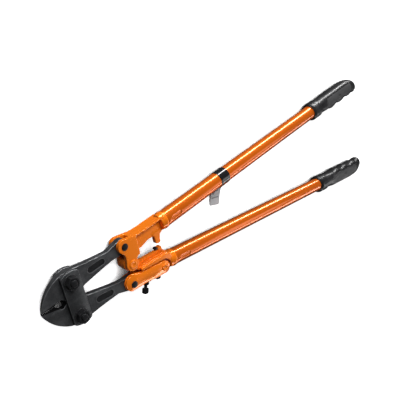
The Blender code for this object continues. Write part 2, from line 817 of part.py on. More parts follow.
def hang_lock_screw(obj):
    """Stands a piece on the lock screw's axis, which runs straight down the page."""
    obj.location = (LOCK_SCREW_X, LINK_RIVET[1] + 6.0 * MM, 0.0)
    obj.rotation_euler = (pi / 2, 0.0, 0.0)
    return obj


def make_lock_screw():
    profile = [
        (0.0, 26.0 * MM),
        (LOCK_SCREW_HEAD - MM, 26.0 * MM),
        (LOCK_SCREW_HEAD, 25.0 * MM),
        (LOCK_SCREW_HEAD, 20.0 * MM),
        (SCREW_RADIUS, 20.0 * MM),
        (SCREW_RADIUS, 2.0 * MM + GAP),
        (0.0, 2.0 * MM + GAP),
    ]
    return finish(hang_lock_screw(turned("lock_screw", profile, 24)), "tool", black_steel)


# Tubes and grips


def handle_length(side):
    """From the seam to the grip's front, along the axis."""
    return (axis_point(GRIP_START, side) - axis_point(TUBE_START, side)).length


def make_tube(name, side, pivot):
    low = GAP
    high = handle_length(side) + GRIP_BORE_DEPTH - GAP
    inner = TUBE_RADIUS - TUBE_WALL
    profile = [(TUBE_RADIUS, high), (TUBE_RADIUS, low), (inner, low), (inner, high)]
    tube = lay_on_handle(turned(name, profile, LONG_ROUND, ring=True), TUBE_START, side)
    for face, label in ((1, "front"), (-1, "back")):
        half = (CRIMP_LENGTH - CRIMP_WIDTH) / 2
        ends = [arc((half, 0.0), CRIMP_WIDTH / 2, -90.0, 90.0, 6)]
        ends.append(arc((-half, 0.0), CRIMP_WIDTH / 2, 90.0, 270.0, 6))
        floor = TUBE_RADIUS - CRIMP_DEPTH
        levels = sorted((face * floor, face * (TUBE_RADIUS + MM)))
        crimp = flat_solid(f"{name}_crimp_{label}", [ends[0] + ends[1]], *levels)
        place = axis_point(TUBE_START + CRIMP_FROM_SEAM, side)
        crimp.location = (place.x, place.y, crimp.location.z)
        crimp.rotation_euler = (0.0, 0.0, side * SLOPE_ANGLE)
        combine(tube, crimp, "DIFFERENCE", pivot)
    return finish(tube, pivot, orange_paint)


def smooth_step(value, low, high):
    share = min(1.0, max(0.0, (value - low) / (high - low)))
    return share * share * (3.0 - 2.0 * share)


def grip_section(distance):
    """(outer reach, inner reach, half thickness) of the grip's body, from the tube's axis."""
    neck = TUBE_RADIUS + GRIP_WALL
    swell = smooth_step(distance, 34.0 * MM, 72.0 * MM)
    outer = neck + 1.6 * MM * swell
    bumps = 0.5 - 0.5 * cos(2 * pi * (distance - BUMP_START) / BUMP_PITCH)
    inner = neck + 0.5 * MM * swell
    inner += BUMP_HEIGHT * bumps * smooth_step(distance, BUMP_START - 2.0 * MM, BUMP_START + 6.0 * MM)
    thick = neck
    share = max(0.0, (distance - GRIP_LENGTH + GRIP_TAIL) / GRIP_TAIL)
    outer -= (outer + HOOK_OFFSET) * (1.0 - sqrt(max(0.0, 1.0 - share**2.2)))
    thick -= 6.0 * MM * share**2.6
    past_hook = (distance - GRIP_LENGTH + HOOK_RADIUS) / HOOK_RADIUS
    if past_hook > -1.0:
        hook = sqrt(max(0.0, 1.0 - past_hook**2))
        inner *= 1.0 - smooth_step(past_hook, -0.8, 0.0)
        inner = max(inner, HOOK_OFFSET + HOOK_RADIUS * hook)
        if past_hook > 0.0:
            thick *= hook**0.8
    return outer, inner, thick


def grip_stations():
    """Distances of the sections, closer together towards the rounded end."""
    body = [34.0 + 6.0 * i for i in range(24)]
    tail = [24.5, 22.5, 20.0, 17.0, 13.5, 10.0, 7.0, 4.6, 2.7, 1.4, 0.5]
    return [value * MM for value in body] + [GRIP_LENGTH - value * MM for value in tail]


def section_ring(distance, outer, inner, thick, power, side):
    """One ring of the loft: a rounded oval across the handle."""
    centre = along_handle(distance, side)
    outward = Vector((-sin(SLOPE_ANGLE) * side, cos(SLOPE_ANGLE), 0.0)) * side
    middle = (outer - inner) / 2
    half = (outer + inner) / 2
    ring = []
    count = 24
    for i in range(count):
        turn = 2 * pi * i / count
        across = abs(cos(turn)) ** (2 / power) * (1 if cos(turn) > 0 else -1)
        up = abs(sin(turn)) ** (2 / power) * (1 if sin(turn) > 0 else -1)
        point = centre + outward * (middle + half * across)
        ring.append((point.x, point.y, thick * up))
    return ring


def loft(name, rings):
    """A closed solid through rings that all have the same number of points."""
    work = bmesh.new()
    loops = [[work.verts.new(point) for point in ring] for ring in rings]
    for near, far in zip(loops, loops[1:]):
        for i in range(len(near)):
            j = (i + 1) % len(near)
            work.faces.new((near[i], near[j], far[j], far[i]))
    work.faces.new(loops[0])
    work.faces.new(loops[-1])
    bmesh.ops.recalc_face_normals(work, faces=work.faces)
    mesh = bpy.data.meshes.new(name)
    work.to_mesh(mesh)
    work.free()
    return bpy.data.objects.new(name, mesh)


def make_grip(name, side, pivot):
    rings = []
    for distance, reach in (
        (0.0, -3.8),
        (4.0, 0.0),
        (COLLAR_LENGTH / MM - 3.0, 0.0),
        (COLLAR_LENGTH / MM, -1.6),
    ):
        radius = COLLAR_RADIUS + reach * MM
        rings.append(section_ring(distance * MM, radius, radius, radius, 2.0, side))
    for distance in grip_stations():
        power = 2.0 + 0.5 * smooth_step(distance, 25.0 * MM, 70.0 * MM)
        rings.append(section_ring(distance, *grip_section(distance), power, side))
    grip = loft(name, rings)
    bore = rod(
        name + "_bore", TUBE_RADIUS + GAP, -2.0 * MM, GRIP_BORE_DEPTH + GAP, LONG_ROUND
    )
    combine(grip, lay_on_handle(bore, GRIP_START, side), "DIFFERENCE", pivot)
    return finish(grip, pivot, black_rubber)


def make_handles():
    for label, side, pivot in (("upper", UPPER, "upper_handle_pivot"), ("lower", LOWER, "tool")):
        make_tube(f"{label}_tube", side, pivot)
        make_grip(f"{label}_grip", side, pivot)


# Band and tag on the upper tube


def make_band():
    inner = TUBE_RADIUS + GAP
    outer = inner + BAND_THICKNESS
    half = BAND_LENGTH / 2
    profile = [(outer, half), (outer, -half), (inner, -half), (inner, half)]
    band = lay_on_handle(turned("tag_band", profile, LONG_ROUND, ring=True), BAND_X, UPPER)
    return finish(
        band, "upper_handle_pivot", lambda name: make_material(name, (0.01, 0.01, 0.012), 0.0, 0.2)
    )


def make_tag():
    """A stiff strip that leaves the band's inner side and bends down to lie on the ground."""
    start = axis_point(BAND_X, UPPER)
    reach = TUBE_RADIUS + GAP + BAND_THICKNESS + GAP + TAG_THICKNESS
    spine = [
        (start.x, start.y - reach, -2.0 * MM),
        (start.x - 0.6 * MM, start.y - reach - 1.2 * MM, -7.0 * MM),
        (start.x - 2.5 * MM, start.y - reach - 6.5 * MM, -12.0 * MM),
        (start.x - 5.5 * MM, start.y - reach - 18.0 * MM, -16.2 * MM),
        (start.x - 10.5 * MM, start.y - reach - 39.0 * MM, -BOLT_BOTTOM + 1.2 * MM),
    ]
    turns = (SLOPE_ANGLE, SLOPE_ANGLE, 0.0, radians(-9.0), radians(-16.0))
    work = bmesh.new()
    rows = []
    for (x, y, z), turn in zip(spine, turns):
        step = Vector((cos(turn), sin(turn), 0.0)) * (TAG_WIDTH / 2)
        rows.append([work.verts.new(Vector((x, y, z)) + step * way) for way in (-1, 0, 1)])
    for near, far in zip(rows, rows[1:]):
        for i in range(2):
            work.faces.new((near[i], near[i + 1], far[i + 1], far[i]))
    mesh = bpy.data.meshes.new("hang_tag")
    work.to_mesh(mesh)
    work.free()
    tag = bpy.data.objects.new("hang_tag", mesh)
    wall = tag.modifiers.new("paper", "SOLIDIFY")
    wall.thickness = TAG_THICKNESS
    wall.offset = 0.0
    return finish(
        tag, "upper_handle_pivot", lambda name: make_material(name, (0.72, 0.72, 0.72), 0.0, 0.4)
    )


def main():
    global parts, cutters
    clear_scene()
    parts = new_collection("bolt_cutters")
    cutters = new_collection("cutters")
    add_pivots()
    make_jaws()
    make_straps()
    make_bolting()
    make_pins()
    make_upper_casting()
    make_lower_casting()
    make_stop_bumper()
    make_links()
    make_adjusting_block()
    make_adjusting_screw()
    make_jam_nut()
    make_lock_screw()
    make_handles()
    make_band()
    make_tag()


main()
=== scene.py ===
"""Finished looks for a pair of long handled bolt cutters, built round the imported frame.

All sizes are in millimetres in the tool frame: origin midway between the two jaw bolts, +X from
the jaws to the grips, +Y to the upper handle, +Z out of the side with the nuts. Each surface is
worked out with numpy and carried to the frame's own metres when its mesh is made.
"""

import json
import logging
import sys
from dataclasses import dataclass, field
from enum import Enum

import bmesh
import bpy
import numpy as np
from mathutils import Matrix, Vector

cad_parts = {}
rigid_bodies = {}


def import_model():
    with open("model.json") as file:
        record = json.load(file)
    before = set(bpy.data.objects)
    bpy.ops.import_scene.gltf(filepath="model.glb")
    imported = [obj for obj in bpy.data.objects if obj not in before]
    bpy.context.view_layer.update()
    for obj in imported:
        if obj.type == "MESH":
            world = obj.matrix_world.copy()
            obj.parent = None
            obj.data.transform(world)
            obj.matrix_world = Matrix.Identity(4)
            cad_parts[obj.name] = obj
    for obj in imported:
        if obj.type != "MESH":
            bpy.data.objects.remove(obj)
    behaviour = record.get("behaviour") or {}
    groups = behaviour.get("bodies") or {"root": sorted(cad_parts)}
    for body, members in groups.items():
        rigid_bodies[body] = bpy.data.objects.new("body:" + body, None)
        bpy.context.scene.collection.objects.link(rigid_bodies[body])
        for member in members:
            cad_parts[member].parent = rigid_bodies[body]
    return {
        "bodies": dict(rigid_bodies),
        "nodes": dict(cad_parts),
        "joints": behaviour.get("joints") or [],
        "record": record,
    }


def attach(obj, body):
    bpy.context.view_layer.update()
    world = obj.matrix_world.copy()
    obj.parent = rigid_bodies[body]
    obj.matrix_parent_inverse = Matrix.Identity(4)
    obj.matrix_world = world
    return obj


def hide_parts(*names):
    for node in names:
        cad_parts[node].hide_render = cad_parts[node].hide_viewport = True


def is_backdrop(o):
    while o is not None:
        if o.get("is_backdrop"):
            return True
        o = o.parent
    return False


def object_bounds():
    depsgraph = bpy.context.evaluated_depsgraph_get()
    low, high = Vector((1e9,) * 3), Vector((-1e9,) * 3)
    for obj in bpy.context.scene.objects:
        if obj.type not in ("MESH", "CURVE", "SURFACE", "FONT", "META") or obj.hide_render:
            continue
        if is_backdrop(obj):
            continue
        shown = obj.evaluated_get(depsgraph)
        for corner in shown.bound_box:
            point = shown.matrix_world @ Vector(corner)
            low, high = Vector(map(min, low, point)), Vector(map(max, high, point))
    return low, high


LOG = logging.getLogger("bolt_cutters")
MM = 0.001
Array = np.ndarray


class Side(Enum):
    """The two mirrored halves of the tool."""

    UPPER = 1
    LOWER = -1


class Slot(Enum):
    """The record's material slots."""

    FORGED = "forged_steel"
    BLACK = "black_steel"
    ORANGE = "orange_paint"
    RUBBER = "grip_rubber"
    BAND = "band_plastic"
    CARD = "tag_paper"


# ---------------------------------------------------------------- outlines and surfaces


def arc(centre: tuple, radius: float, start: float, end: float, steps: int) -> Array:
    """Points round a centre: centre + radius * (cos a, sin a).

    Args:
        centre: the arc's centre.
        radius: its radius.
        start: first angle in degrees.
        end: last angle in degrees.
        steps: the number of equal turns between them.

    Returns:
        (steps + 1, 2) points.
    """
    turn = np.radians(np.linspace(start, end, steps + 1))
    return np.stack([centre[0] + radius * np.cos(turn), centre[1] + radius * np.sin(turn)], -1)


def bulge(start: tuple, end: tuple, sagitta: float, steps: int) -> Array:
    """Points of the circular arc from start to end that stands out to the right by sagitta.

    The radius is (h^2 + s^2) / 2s for a half chord h, and each point rises from the chord by
    sqrt(r^2 - t^2) - (r - s) at a distance t from the chord's middle.

    Args:
        start: first point.
        end: last point.
        sagitta: how far the middle stands out.
        steps: the number of equal steps along the chord.

    Returns:
        (steps + 1, 2) points.
    """
    first, last = np.array(start, float), np.array(end, float)
    chord = last - first
    half = np.hypot(*chord) / 2
    radius = (half * half + sagitta * sagitta) / (2 * sagitta)
    right = np.array([chord[1], -chord[0]]) / (2 * half)
    share = np.linspace(-0.5, 0.5, steps + 1)[:, None]
    rise = np.sqrt(radius**2 - (share * 2 * half) ** 2) - (radius - sagitta)
    return first + chord / 2 + chord * share + right * rise


def softened(corners: list, steps: int = 5) -> Array:
    """The closed outline through corners (x, y, radius), each replaced by a quadratic curve.

    Each corner P with neighbours A and B is replaced by (1-t)^2 a + 2t(1-t) P + t^2 b, where a
    and b lie on the sides at a distance of radius from P.

    Args:
        corners: (x, y) or (x, y, radius) in order.
        steps: the number of steps in each curve.

    Returns:
        (n, 2) points.
    """
    places = np.array([corner[:2] for corner in corners], float)
    reach = np.array([corner[2] if len(corner) > 2 else 0.0 for corner in corners])
    before, after = np.roll(places, 1, 0) - places, np.roll(places, -1, 0) - places
    before /= np.linalg.norm(before, axis=1, keepdims=True)
    after /= np.linalg.norm(after, axis=1, keepdims=True)
    t = np.linspace(0.0, 1.0, steps + 1)[None, :, None]
    first = (places + before * reach[:, None])[:, None]
    last = (places + after * reach[:, None])[:, None]
    curves = (1 - t) ** 2 * first + 2 * t * (1 - t) * places[:, None] + t**2 * last
    keep = np.ones(curves.shape[:2], bool)
    keep[reach == 0.0, 1:] = False
    return curves[keep]


def resampled(outline: Array, spacing: float) -> Array:
    """The closed outline with points added so that no side is much longer than spacing.

    Args:
        outline: (n, 2) points.
        spacing: the longest side wanted.

    Returns:
        (m, 2) points that include all the first ones.
    """
    following = np.roll(outline, -1, 0)
    length = np.linalg.norm(following - outline, axis=1)
    count = np.maximum(1, np.ceil(length / spacing)).astype(int)
    owner = np.repeat(np.arange(len(outline)), count)
    first = np.repeat(np.cumsum(count) - count, count)
    share = ((np.arange(len(owner)) - first) / count[owner])[:, None]
    return outline[owner] * (1 - share) + following[owner] * share


def inward(outline: Array, reach: float) -> Array:
    """A counter-clockwise outline moved inwards: each point goes along its mitre.

    Args:
        outline: (n, 2) points.
        reach: the distance, which may be negative to go outwards.

    Returns:
        (n, 2) points.
    """
    step = np.roll(outline, -1, 0) - outline
    step /= np.linalg.norm(step, axis=1, keepdims=True) + 1e-12
    normal = np.stack([-step[:, 1], step[:, 0]], -1)
    mitre = normal + np.roll(normal, 1, 0)
    mitre /= np.maximum((mitre**2).sum(1, keepdims=True) / 2, 0.35)
    return outline + mitre * reach


def counter_clockwise(outline: Array) -> Array:
    """The outline, reversed if its area is negative."""
    x, y = outline.T
    area = (x * np.roll(y, -1) - y * np.roll(x, -1)).sum()
    return outline if area > 0 else outline[::-1]


def distance_to(points: Array, outline: Array) -> Array:
    """Each point's distance to a closed outline: the least over its sides of |p - nearest|.

    Args:
        points: (n, 2) points.
        outline: (m, 2) points of the outline.

    Returns:
        (n,) distances.
    """
    start = outline
    span = np.roll(outline, -1, 0) - outline
    best = np.full(len(points), 1e9)
    for chunk in np.array_split(np.arange(len(points)), max(1, len(points) // 20000)):
        away = points[chunk, None] - start[None]
        share = (away * span).sum(-1) / np.maximum((span**2).sum(-1), 1e-12)
        gap = away - np.clip(share, 0, 1)[..., None] * span
        best[chunk] = np.sqrt((gap**2).sum(-1).min(1))
    return best


def smooth_step(value: Array, low: float, high: float) -> Array:
    """0 below low, 1 above high and 3t^2 - 2t^3 between."""
    share = np.clip((value - low) / (high - low), 0.0, 1.0)
    return share * share * (3.0 - 2.0 * share)


def ripple(points: Array, scale: float, seed: int) -> Array:
    """A smooth uneven field: the mean of nine sine waves in random directions.

    Args:
        points: (..., 3) places.
        scale: the wavelength in millimetres.
        seed: which field.

    Returns:
        (...) values from -1 to 1.
    """
    random = np.random.default_rng(seed)
    waves = random.normal(size=(9, 3)) * (2 * np.pi / scale) / np.sqrt(3)
    phase = random.uniform(0, 2 * np.pi, 9)
    return np.sin(points @ waves.T + phase).mean(-1)


@dataclass
class Shell:
    """A surface as vertices and faces, with a wear value at each vertex.

    Attributes:
        points: (n, 3) places in the tool frame.
        quads: (m, 4) faces.
        caps: longer faces.
        wear: (n,) values, 1 on an edge that is rubbed and 0 elsewhere; on the steel and the enamel,
            negative values paint shade in hollows and on shaded walls, and the grips and the tag use
            them for their panels.
    """

    points: Array
    quads: Array
    caps: list = field(default_factory=list)
    wear: Array | None = None

    def worn(self) -> Array:
        """The wear values, or none anywhere."""
        return np.zeros(len(self.points)) if self.wear is None else self.wear

    def joined(self, *others: "Shell") -> "Shell":
        """This shell and others as one, with each face's numbers moved up.

        Args:
            others: surfaces to add.

        Returns:
            One surface that holds them all.
        """
        shells = (self, *others)
        starts = np.cumsum([0] + [len(shell.points) for shell in shells[:-1]])
        caps = [
            [index + start for index in cap]
            for shell, start in zip(shells, starts)
            for cap in shell.caps
        ]
        quads = [shell.quads + start for shell, start in zip(shells, starts)]
        return Shell(
            np.concatenate([shell.points for shell in shells]),
            np.concatenate(quads),
            caps,
            np.concatenate([shell.worn() for shell in shells]),
        )

    def turned(self, matrix: Array, shift: Array) -> "Shell":
        """The shell with each point p at matrix p + shift."""
        return Shell(self.points @ matrix.T + shift, self.quads, self.caps, self.wear)

    def mirrored(self) -> "Shell":
        """The shell with its Y turned round, which also turns its faces round."""
        flipped = self.points * np.array([1.0, -1.0, 1.0])
        return Shell(flipped, self.quads[:, ::-1], [cap[::-1] for cap in self.caps], self.wear)


def grid_shell(rows: Array, wear: Array | None = None, capped: bool = True) -> Shell:
    """A grid of rings, closed round each ring and, if capped, by a face at each end.

    Args:
        rows: (rings, points, 3) places.
        wear: (rings, points) wear values.
        capped: whether the ends are closed.

    Returns:
        The shell.
    """
    rings, count = rows.shape[:2]
    index = np.arange(rings * count).reshape(rings, count)
    near, far = index[:-1], index[1:]
    quads = np.stack([near, np.roll(near, -1, 1), np.roll(far, -1, 1), far], -1).reshape(-1, 4)
    caps = [index[0][::-1].tolist(), index[-1].tolist()] if capped else []
    return Shell(rows.reshape(-1, 3), quads, caps, None if wear is None else wear.ravel())


def torus_shell(rows: Array, wear: Array | None = None) -> Shell:
    """A grid of rings whose last ring joins the first, such as a washer or a hollow tube.

    Args:
        rows: rings of points, joined back to the first.
        wear: how rubbed each point is.

    Returns:
        The closed surface.
    """
    rings, count = rows.shape[:2]
    index = np.arange(rings * count).reshape(rings, count)
    far = np.roll(index, -1, 0)
    quads = np.stack([index, np.roll(index, -1, 1), np.roll(far, -1, 1), far], -1)
    return Shell(
        rows.reshape(-1, 3), quads.reshape(-1, 4), [], None if wear is None else wear.ravel()
    )


def lathe_rows(profile: Array, count: int) -> Array:
    """A profile of (radius, height) carried round Z: (r cos a, r sin a, h) for equal turns a."""
    turn = np.linspace(0, 2 * np.pi, count, endpoint=False)
    ring = np.stack([np.cos(turn), np.sin(turn)], -1)
    radius, height = profile[:, 0], profile[:, 1]
    flat = radius[:, None, None] * ring[None]
    return np.concatenate([flat, np.broadcast_to(height[:, None, None], (*flat.shape[:2], 1))], -1)


def fillet_profile(profile: list, reach: float = 0.4, steps: int = 4) -> Array:
    """An open profile whose inner corners are softened by quadratic curves of one reach.

    Args:
        profile: radius and level of each corner.
        reach: how far a corner is rounded.
        steps: points on each rounding.

    Returns:
        The rounded profile.
    """
    points = np.array(profile, float)
    before, after = points[:-2] - points[1:-1], points[2:] - points[1:-1]
    room = np.minimum(np.linalg.norm(before, axis=1), np.linalg.norm(after, axis=1)) * 0.45
    span = np.minimum(room, reach)[:, None]
    before /= np.linalg.norm(before, axis=1, keepdims=True)
    after /= np.linalg.norm(after, axis=1, keepdims=True)
    t = np.linspace(0, 1, steps + 1)[None, :, None]
    middle = points[1:-1][:, None]
    first, last = (points[1:-1] + before * span)[:, None], (points[1:-1] + after * span)[:, None]
    curves = (1 - t) ** 2 * first + 2 * t * (1 - t) * middle + t**2 * last
    return np.concatenate([points[:1], curves.reshape(-1, 2), points[-1:]])


def lathe(profile: list, count: int = 64, reach: float = 0.4) -> Shell:
    """A solid turned from a profile that starts and ends near the axis, top first."""
    soft = fillet_profile(profile, reach)
    step = np.gradient(np.unwrap(np.arctan2(*np.gradient(soft, axis=0).T)))
    wear = np.broadcast_to(np.clip(np.abs(step)[:, None] * 3, 0, 1), (len(soft), count))
    return grid_shell(lathe_rows(soft, count)[::-1], wear[::-1])


def hex_rows(across: float, rows: Array, count: int = 96) -> Array:
    """Rings of a hexagon whose corners a cone cuts.

    Each ring's radius is the smaller of its own radius and the hexagon's, a / cos(b), where a
    is half the distance across flats and b the angle from the nearest flat's middle.

    Args:
        across: distance across flats.
        rows: (n, 2) radius and height of each ring before the flats cut it.
        count: points in a ring, a multiple of six.

    Returns:
        (n, count, 3) points.
    """
    turn = np.linspace(0, 2 * np.pi, count, endpoint=False)
    from_flat = (turn + np.pi / 6) % (np.pi / 3) - np.pi / 6
    flat = across / 2 / np.cos(from_flat)
    radius = np.minimum(rows[:, :1], flat[None])
    height = np.broadcast_to(rows[:, 1:], radius.shape)
    return np.stack([radius * np.cos(turn), radius * np.sin(turn), height], -1)


def hex_profile(across: float, low: float, high: float, top: bool, bottom: bool) -> Array:
    """Rings for a hexagon with 30 degree chamfers on the ends that are asked for.

    Args:
        across: distance across the flats.
        low: lower level.
        high: upper level.
        top: whether the top is chamfered.
        bottom: whether the bottom is chamfered.

    Returns:
        Radius and level of each ring.
    """
    corner = across / 2 / np.cos(np.pi / 6)
    chamfer = (corner - across / 2) * 0.58
    inner = across / 2 * 0.985
    share = np.linspace(0, 1, 7)
    down = np.stack([corner + (inner - corner) * share, low + chamfer * (1 - share)], -1)
    up = np.stack([corner + (inner - corner) * share, high - chamfer * (1 - share)], -1)
    rows = []
    rows.append(up[::-1] if top else np.array([[corner, high], [corner, high - 0.3]]))
    rows.append(down if bottom else np.array([[corner, low + 0.3], [corner, low]]))
    return np.concatenate(rows)


def threaded(radius: float, pitch: float, depth: float, low: float, high: float) -> Shell:
    """A rod with a real thread: radius less depth times a triangle wave of height and turn.

    Args:
        radius: outside radius.
        pitch: distance from crest to crest.
        depth: depth of the groove.
        low: lower end.
        high: upper end.

    Returns:
        The closed shell.
    """
    count = 48
    height = np.linspace(low, high, int((high - low) / pitch * 12) + 1)
    turn = np.linspace(0, 2 * np.pi, count, endpoint=False)
    phase = (height[:, None] / pitch - turn[None] / (2 * np.pi)) % 1.0
    groove = 1.0 - np.abs(phase * 2 - 1)
    fade = smooth_step(np.minimum(height - low, high - height), 0.0, pitch)[:, None]
    size = radius - depth * (groove * fade + (1 - fade) * 0.8)
    rows = np.stack(
        [size * np.cos(turn), size * np.sin(turn), np.broadcast_to(height[:, None], size.shape)], -1
    )
    return grid_shell(rows, 1 - groove)


def rounded_plate(outline: Array, low: float, high: float, fillet: float = 0.8) -> Shell:
    """A flat plate whose rims are quarter rounds.

    The rows go round the rim: the outline moved inwards by r(1 - cos a) at a height of
    r(1 - sin a) below each face, with one more row inside each, and a face closes each side.

    Args:
        outline: (n, 2) points.
        low: the lower face's height.
        high: the upper face's height.
        fillet: the rims' radius r.

    Returns:
        The closed shell.
    """
    outline = resampled(counter_clockwise(np.asarray(outline, float)), 3.0)
    turn = np.radians(np.linspace(0, 90, 6))
    inset = np.concatenate([[fillet * 1.35], fillet * (1 - np.sin(turn[::-1]))])
    drop = np.concatenate([[0.0], fillet * (1 - np.cos(turn[::-1]))])
    inset = np.concatenate([inset, inset[::-1]])
    height = np.concatenate([high - drop, (low + drop)[::-1]])
    rows = np.stack(
        [
            np.concatenate([inward(outline, gap), np.full((len(outline), 1), level)], 1)
            for gap, level in zip(inset, height)
        ]
    )
    edge = np.clip(1 - np.abs(inset - fillet * 0.3) / (fillet * 0.6), 0, 1)
    wear = np.broadcast_to(edge[:, None], rows.shape[:2])
    return grid_shell(rows[::-1], wear[::-1])


# ---------------------------------------------------------------- meshes and placing


@dataclass
class Workshop:
    """Makes meshes from shells and hangs the pieces on the frame's bodies.

    Attributes:
        head: the tool frame's origin in the row frame, in metres.
    """

    frame: dict
    head: Array = field(init=False)

    def __post_init__(self) -> None:
        """Finds the tool frame from the strap's hinge, which is on the upper jaw bolt."""
        hinge = next(j for j in self.frame["joints"] if j["name"] == "strap_swing")
        self.head = np.array(hinge["pos_m"], float) - np.array([0.0, BOLT_Y * MM, 0.0])

    def mesh(self, name: str, shell: Shell) -> bpy.types.Mesh:
        """A merged mesh with outward faces and its wear values.

        Args:
            name: the mesh's name.
            shell: its surface in the tool frame.

        Returns:
            The mesh, in the row frame.
        """
        mesh = bpy.data.meshes.new(name)
        faces = [*shell.quads.tolist(), *shell.caps]
        mesh.from_pydata((shell.points * MM + self.head).tolist(), [], faces)
        wear = mesh.attributes.new("wear", "FLOAT", "POINT")
        wear.data.foreach_set("value", shell.worn().astype(np.float32))
        work = bmesh.new()
        work.from_mesh(mesh)
        bmesh.ops.remove_doubles(work, verts=work.verts, dist=1e-6)
        bmesh.ops.dissolve_degenerate(work, edges=work.edges, dist=1e-7)
        bmesh.ops.recalc_face_normals(work, faces=work.faces)
        work.to_mesh(mesh)
        work.free()
        mesh.validate()
        mesh.shade_smooth()
        return mesh

    def place(
        self, mesh: bpy.types.Mesh, body: str, nodes: tuple, slot: Slot, material: object
    ) -> bpy.types.Object:
        """Puts a mesh in the scene in place of its CAD nodes.

        Args:
            mesh: the finished mesh.
            body: the CAD body that it rides on.
            nodes: the CAD nodes that it stands for.
            slot: the record's material slot; not used.
            material: its material.

        Returns:
            The piece.
        """
        piece = bpy.data.objects.new(mesh.name, mesh)
        bpy.context.scene.collection.objects.link(piece)
        mesh.materials.clear()
        mesh.materials.append(material)
        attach(piece, body)
        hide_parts(*nodes)
        LOG.info("%s: %d faces on %s", piece.name, len(mesh.polygons), body)
        return piece

    def sharp(self, mesh: bpy.types.Mesh, angle: float = 40.0) -> bpy.types.Mesh:
        """Keeps edges sharper than an angle in degrees as creases."""
        mesh.set_sharp_from_angle(angle=np.radians(angle))
        return mesh

    def fused(self, name: str, shell: Shell, voxel: float, rounds: int) -> bpy.types.Mesh:
        """Runs overlapping shells together as one casting with soft inner corners.

        The shells are remeshed on cubes of one size, and then each vertex moves to the mean of
        itself and its neighbours a few times. Wear is the height of a vertex above the mean of
        its neighbours, along its normal.

        Args:
            name: the mesh's name.
            shell: the overlapping shells.
            voxel: the cube's side.
            rounds: how many times the vertices are averaged.

        Returns:
            The mesh.
        """
        holder = bpy.data.objects.new(name + "_blocks", self.mesh(name + "_blocks", shell))
        bpy.context.scene.collection.objects.link(holder)
        remesh = holder.modifiers.new("fuse", "REMESH")
        remesh.mode = "VOXEL"
        remesh.voxel_size = voxel * MM
        remesh.use_smooth_shade = True
        graph = bpy.context.evaluated_depsgraph_get()
        mesh = bpy.data.meshes.new_from_object(holder.evaluated_get(graph))
        bpy.data.objects.remove(holder, do_unlink=True)
        mesh.name = name
        count = len(mesh.vertices)
        points = np.empty(count * 3)
        mesh.vertices.foreach_get("co", points)
        points = points.reshape(-1, 3)
        ends = np.empty(len(mesh.edges) * 2, int)
        mesh.edges.foreach_get("vertices", ends)
        ends = ends.reshape(-1, 2)
        share = np.bincount(ends.ravel(), minlength=count)[:, None]
        for _ in range(rounds):
            points = 0.5 * points + 0.5 * self.neighbour_mean(points, ends, share)
        mesh.vertices.foreach_set("co", points.astype(np.float32).ravel())
        mesh.update()
        normals = np.empty(count * 3)
        mesh.vertices.foreach_get("normal", normals)
        rise = points - self.neighbour_mean(points, ends, share)
        for _ in range(3):
            rise = 0.5 * rise + 0.5 * self.neighbour_mean(rise, ends, share)
        rise = (rise * normals.reshape(-1, 3)).sum(1) / (voxel * MM)
        wear = np.clip(rise / 0.10, -1, 1)
        attribute = mesh.attributes.new("wear", "FLOAT", "POINT")
        attribute.data.foreach_set("value", wear.astype(np.float32))
        mesh.shade_smooth()
        return mesh

    @staticmethod
    def neighbour_mean(values: Array, ends: Array, share: Array) -> Array:
        """Each vertex's mean over the vertices that its edges lead to.

        Args:
            values: a value at each vertex.
            ends: the two vertices of each edge.
            share: one over the number of neighbours.

        Returns:
            The mean of each vertex's neighbours.
        """
        total = np.stack(
            [
                np.bincount(ends[:, 0], values[ends[:, 1], k], len(values))
                + np.bincount(ends[:, 1], values[ends[:, 0], k], len(values))
                for k in range(values.shape[1])
            ],
            -1,
        )
        return total / np.maximum(share, 1)


# ---------------------------------------------------------------- shader maths and finishes


class Wire:
    """One output socket, with operators that add Math nodes to its tree."""

    def __init__(self, shader: "Finish", socket: bpy.types.NodeSocket) -> None:
        """Wraps a socket of a finish."""
        self.shader = shader
        self.socket = socket

    def _math(self, operation: str, *values: "Wire | float") -> "Wire":
        """Adds one Math node."""
        sockets = dict(enumerate(values))
        return self.shader.node("ShaderNodeMath", {"operation": operation}, sockets)

    def __add__(self, other: "Wire | float") -> "Wire":
        """self + other."""
        return self._math("ADD", self, other)

    __radd__ = __add__

    def __mul__(self, other: "Wire | float") -> "Wire":
        """self * other."""
        return self._math("MULTIPLY", self, other)

    __rmul__ = __mul__

    def __sub__(self, other: "Wire | float") -> "Wire":
        """self - other."""
        return self._math("SUBTRACT", self, other)

    def __rsub__(self, other: float) -> "Wire":
        """other - self."""
        return self._math("SUBTRACT", other, self)

    def above(self, low: float, high: float) -> "Wire":
        """0 below low, 1 above high and a smooth step between."""
        settings = {"interpolation_type": "SMOOTHSTEP", "clamp": True}
        sockets = {"Value": self, "From Min": low, "From Max": high}
        return self.shader.node("ShaderNodeMapRange", settings, sockets)


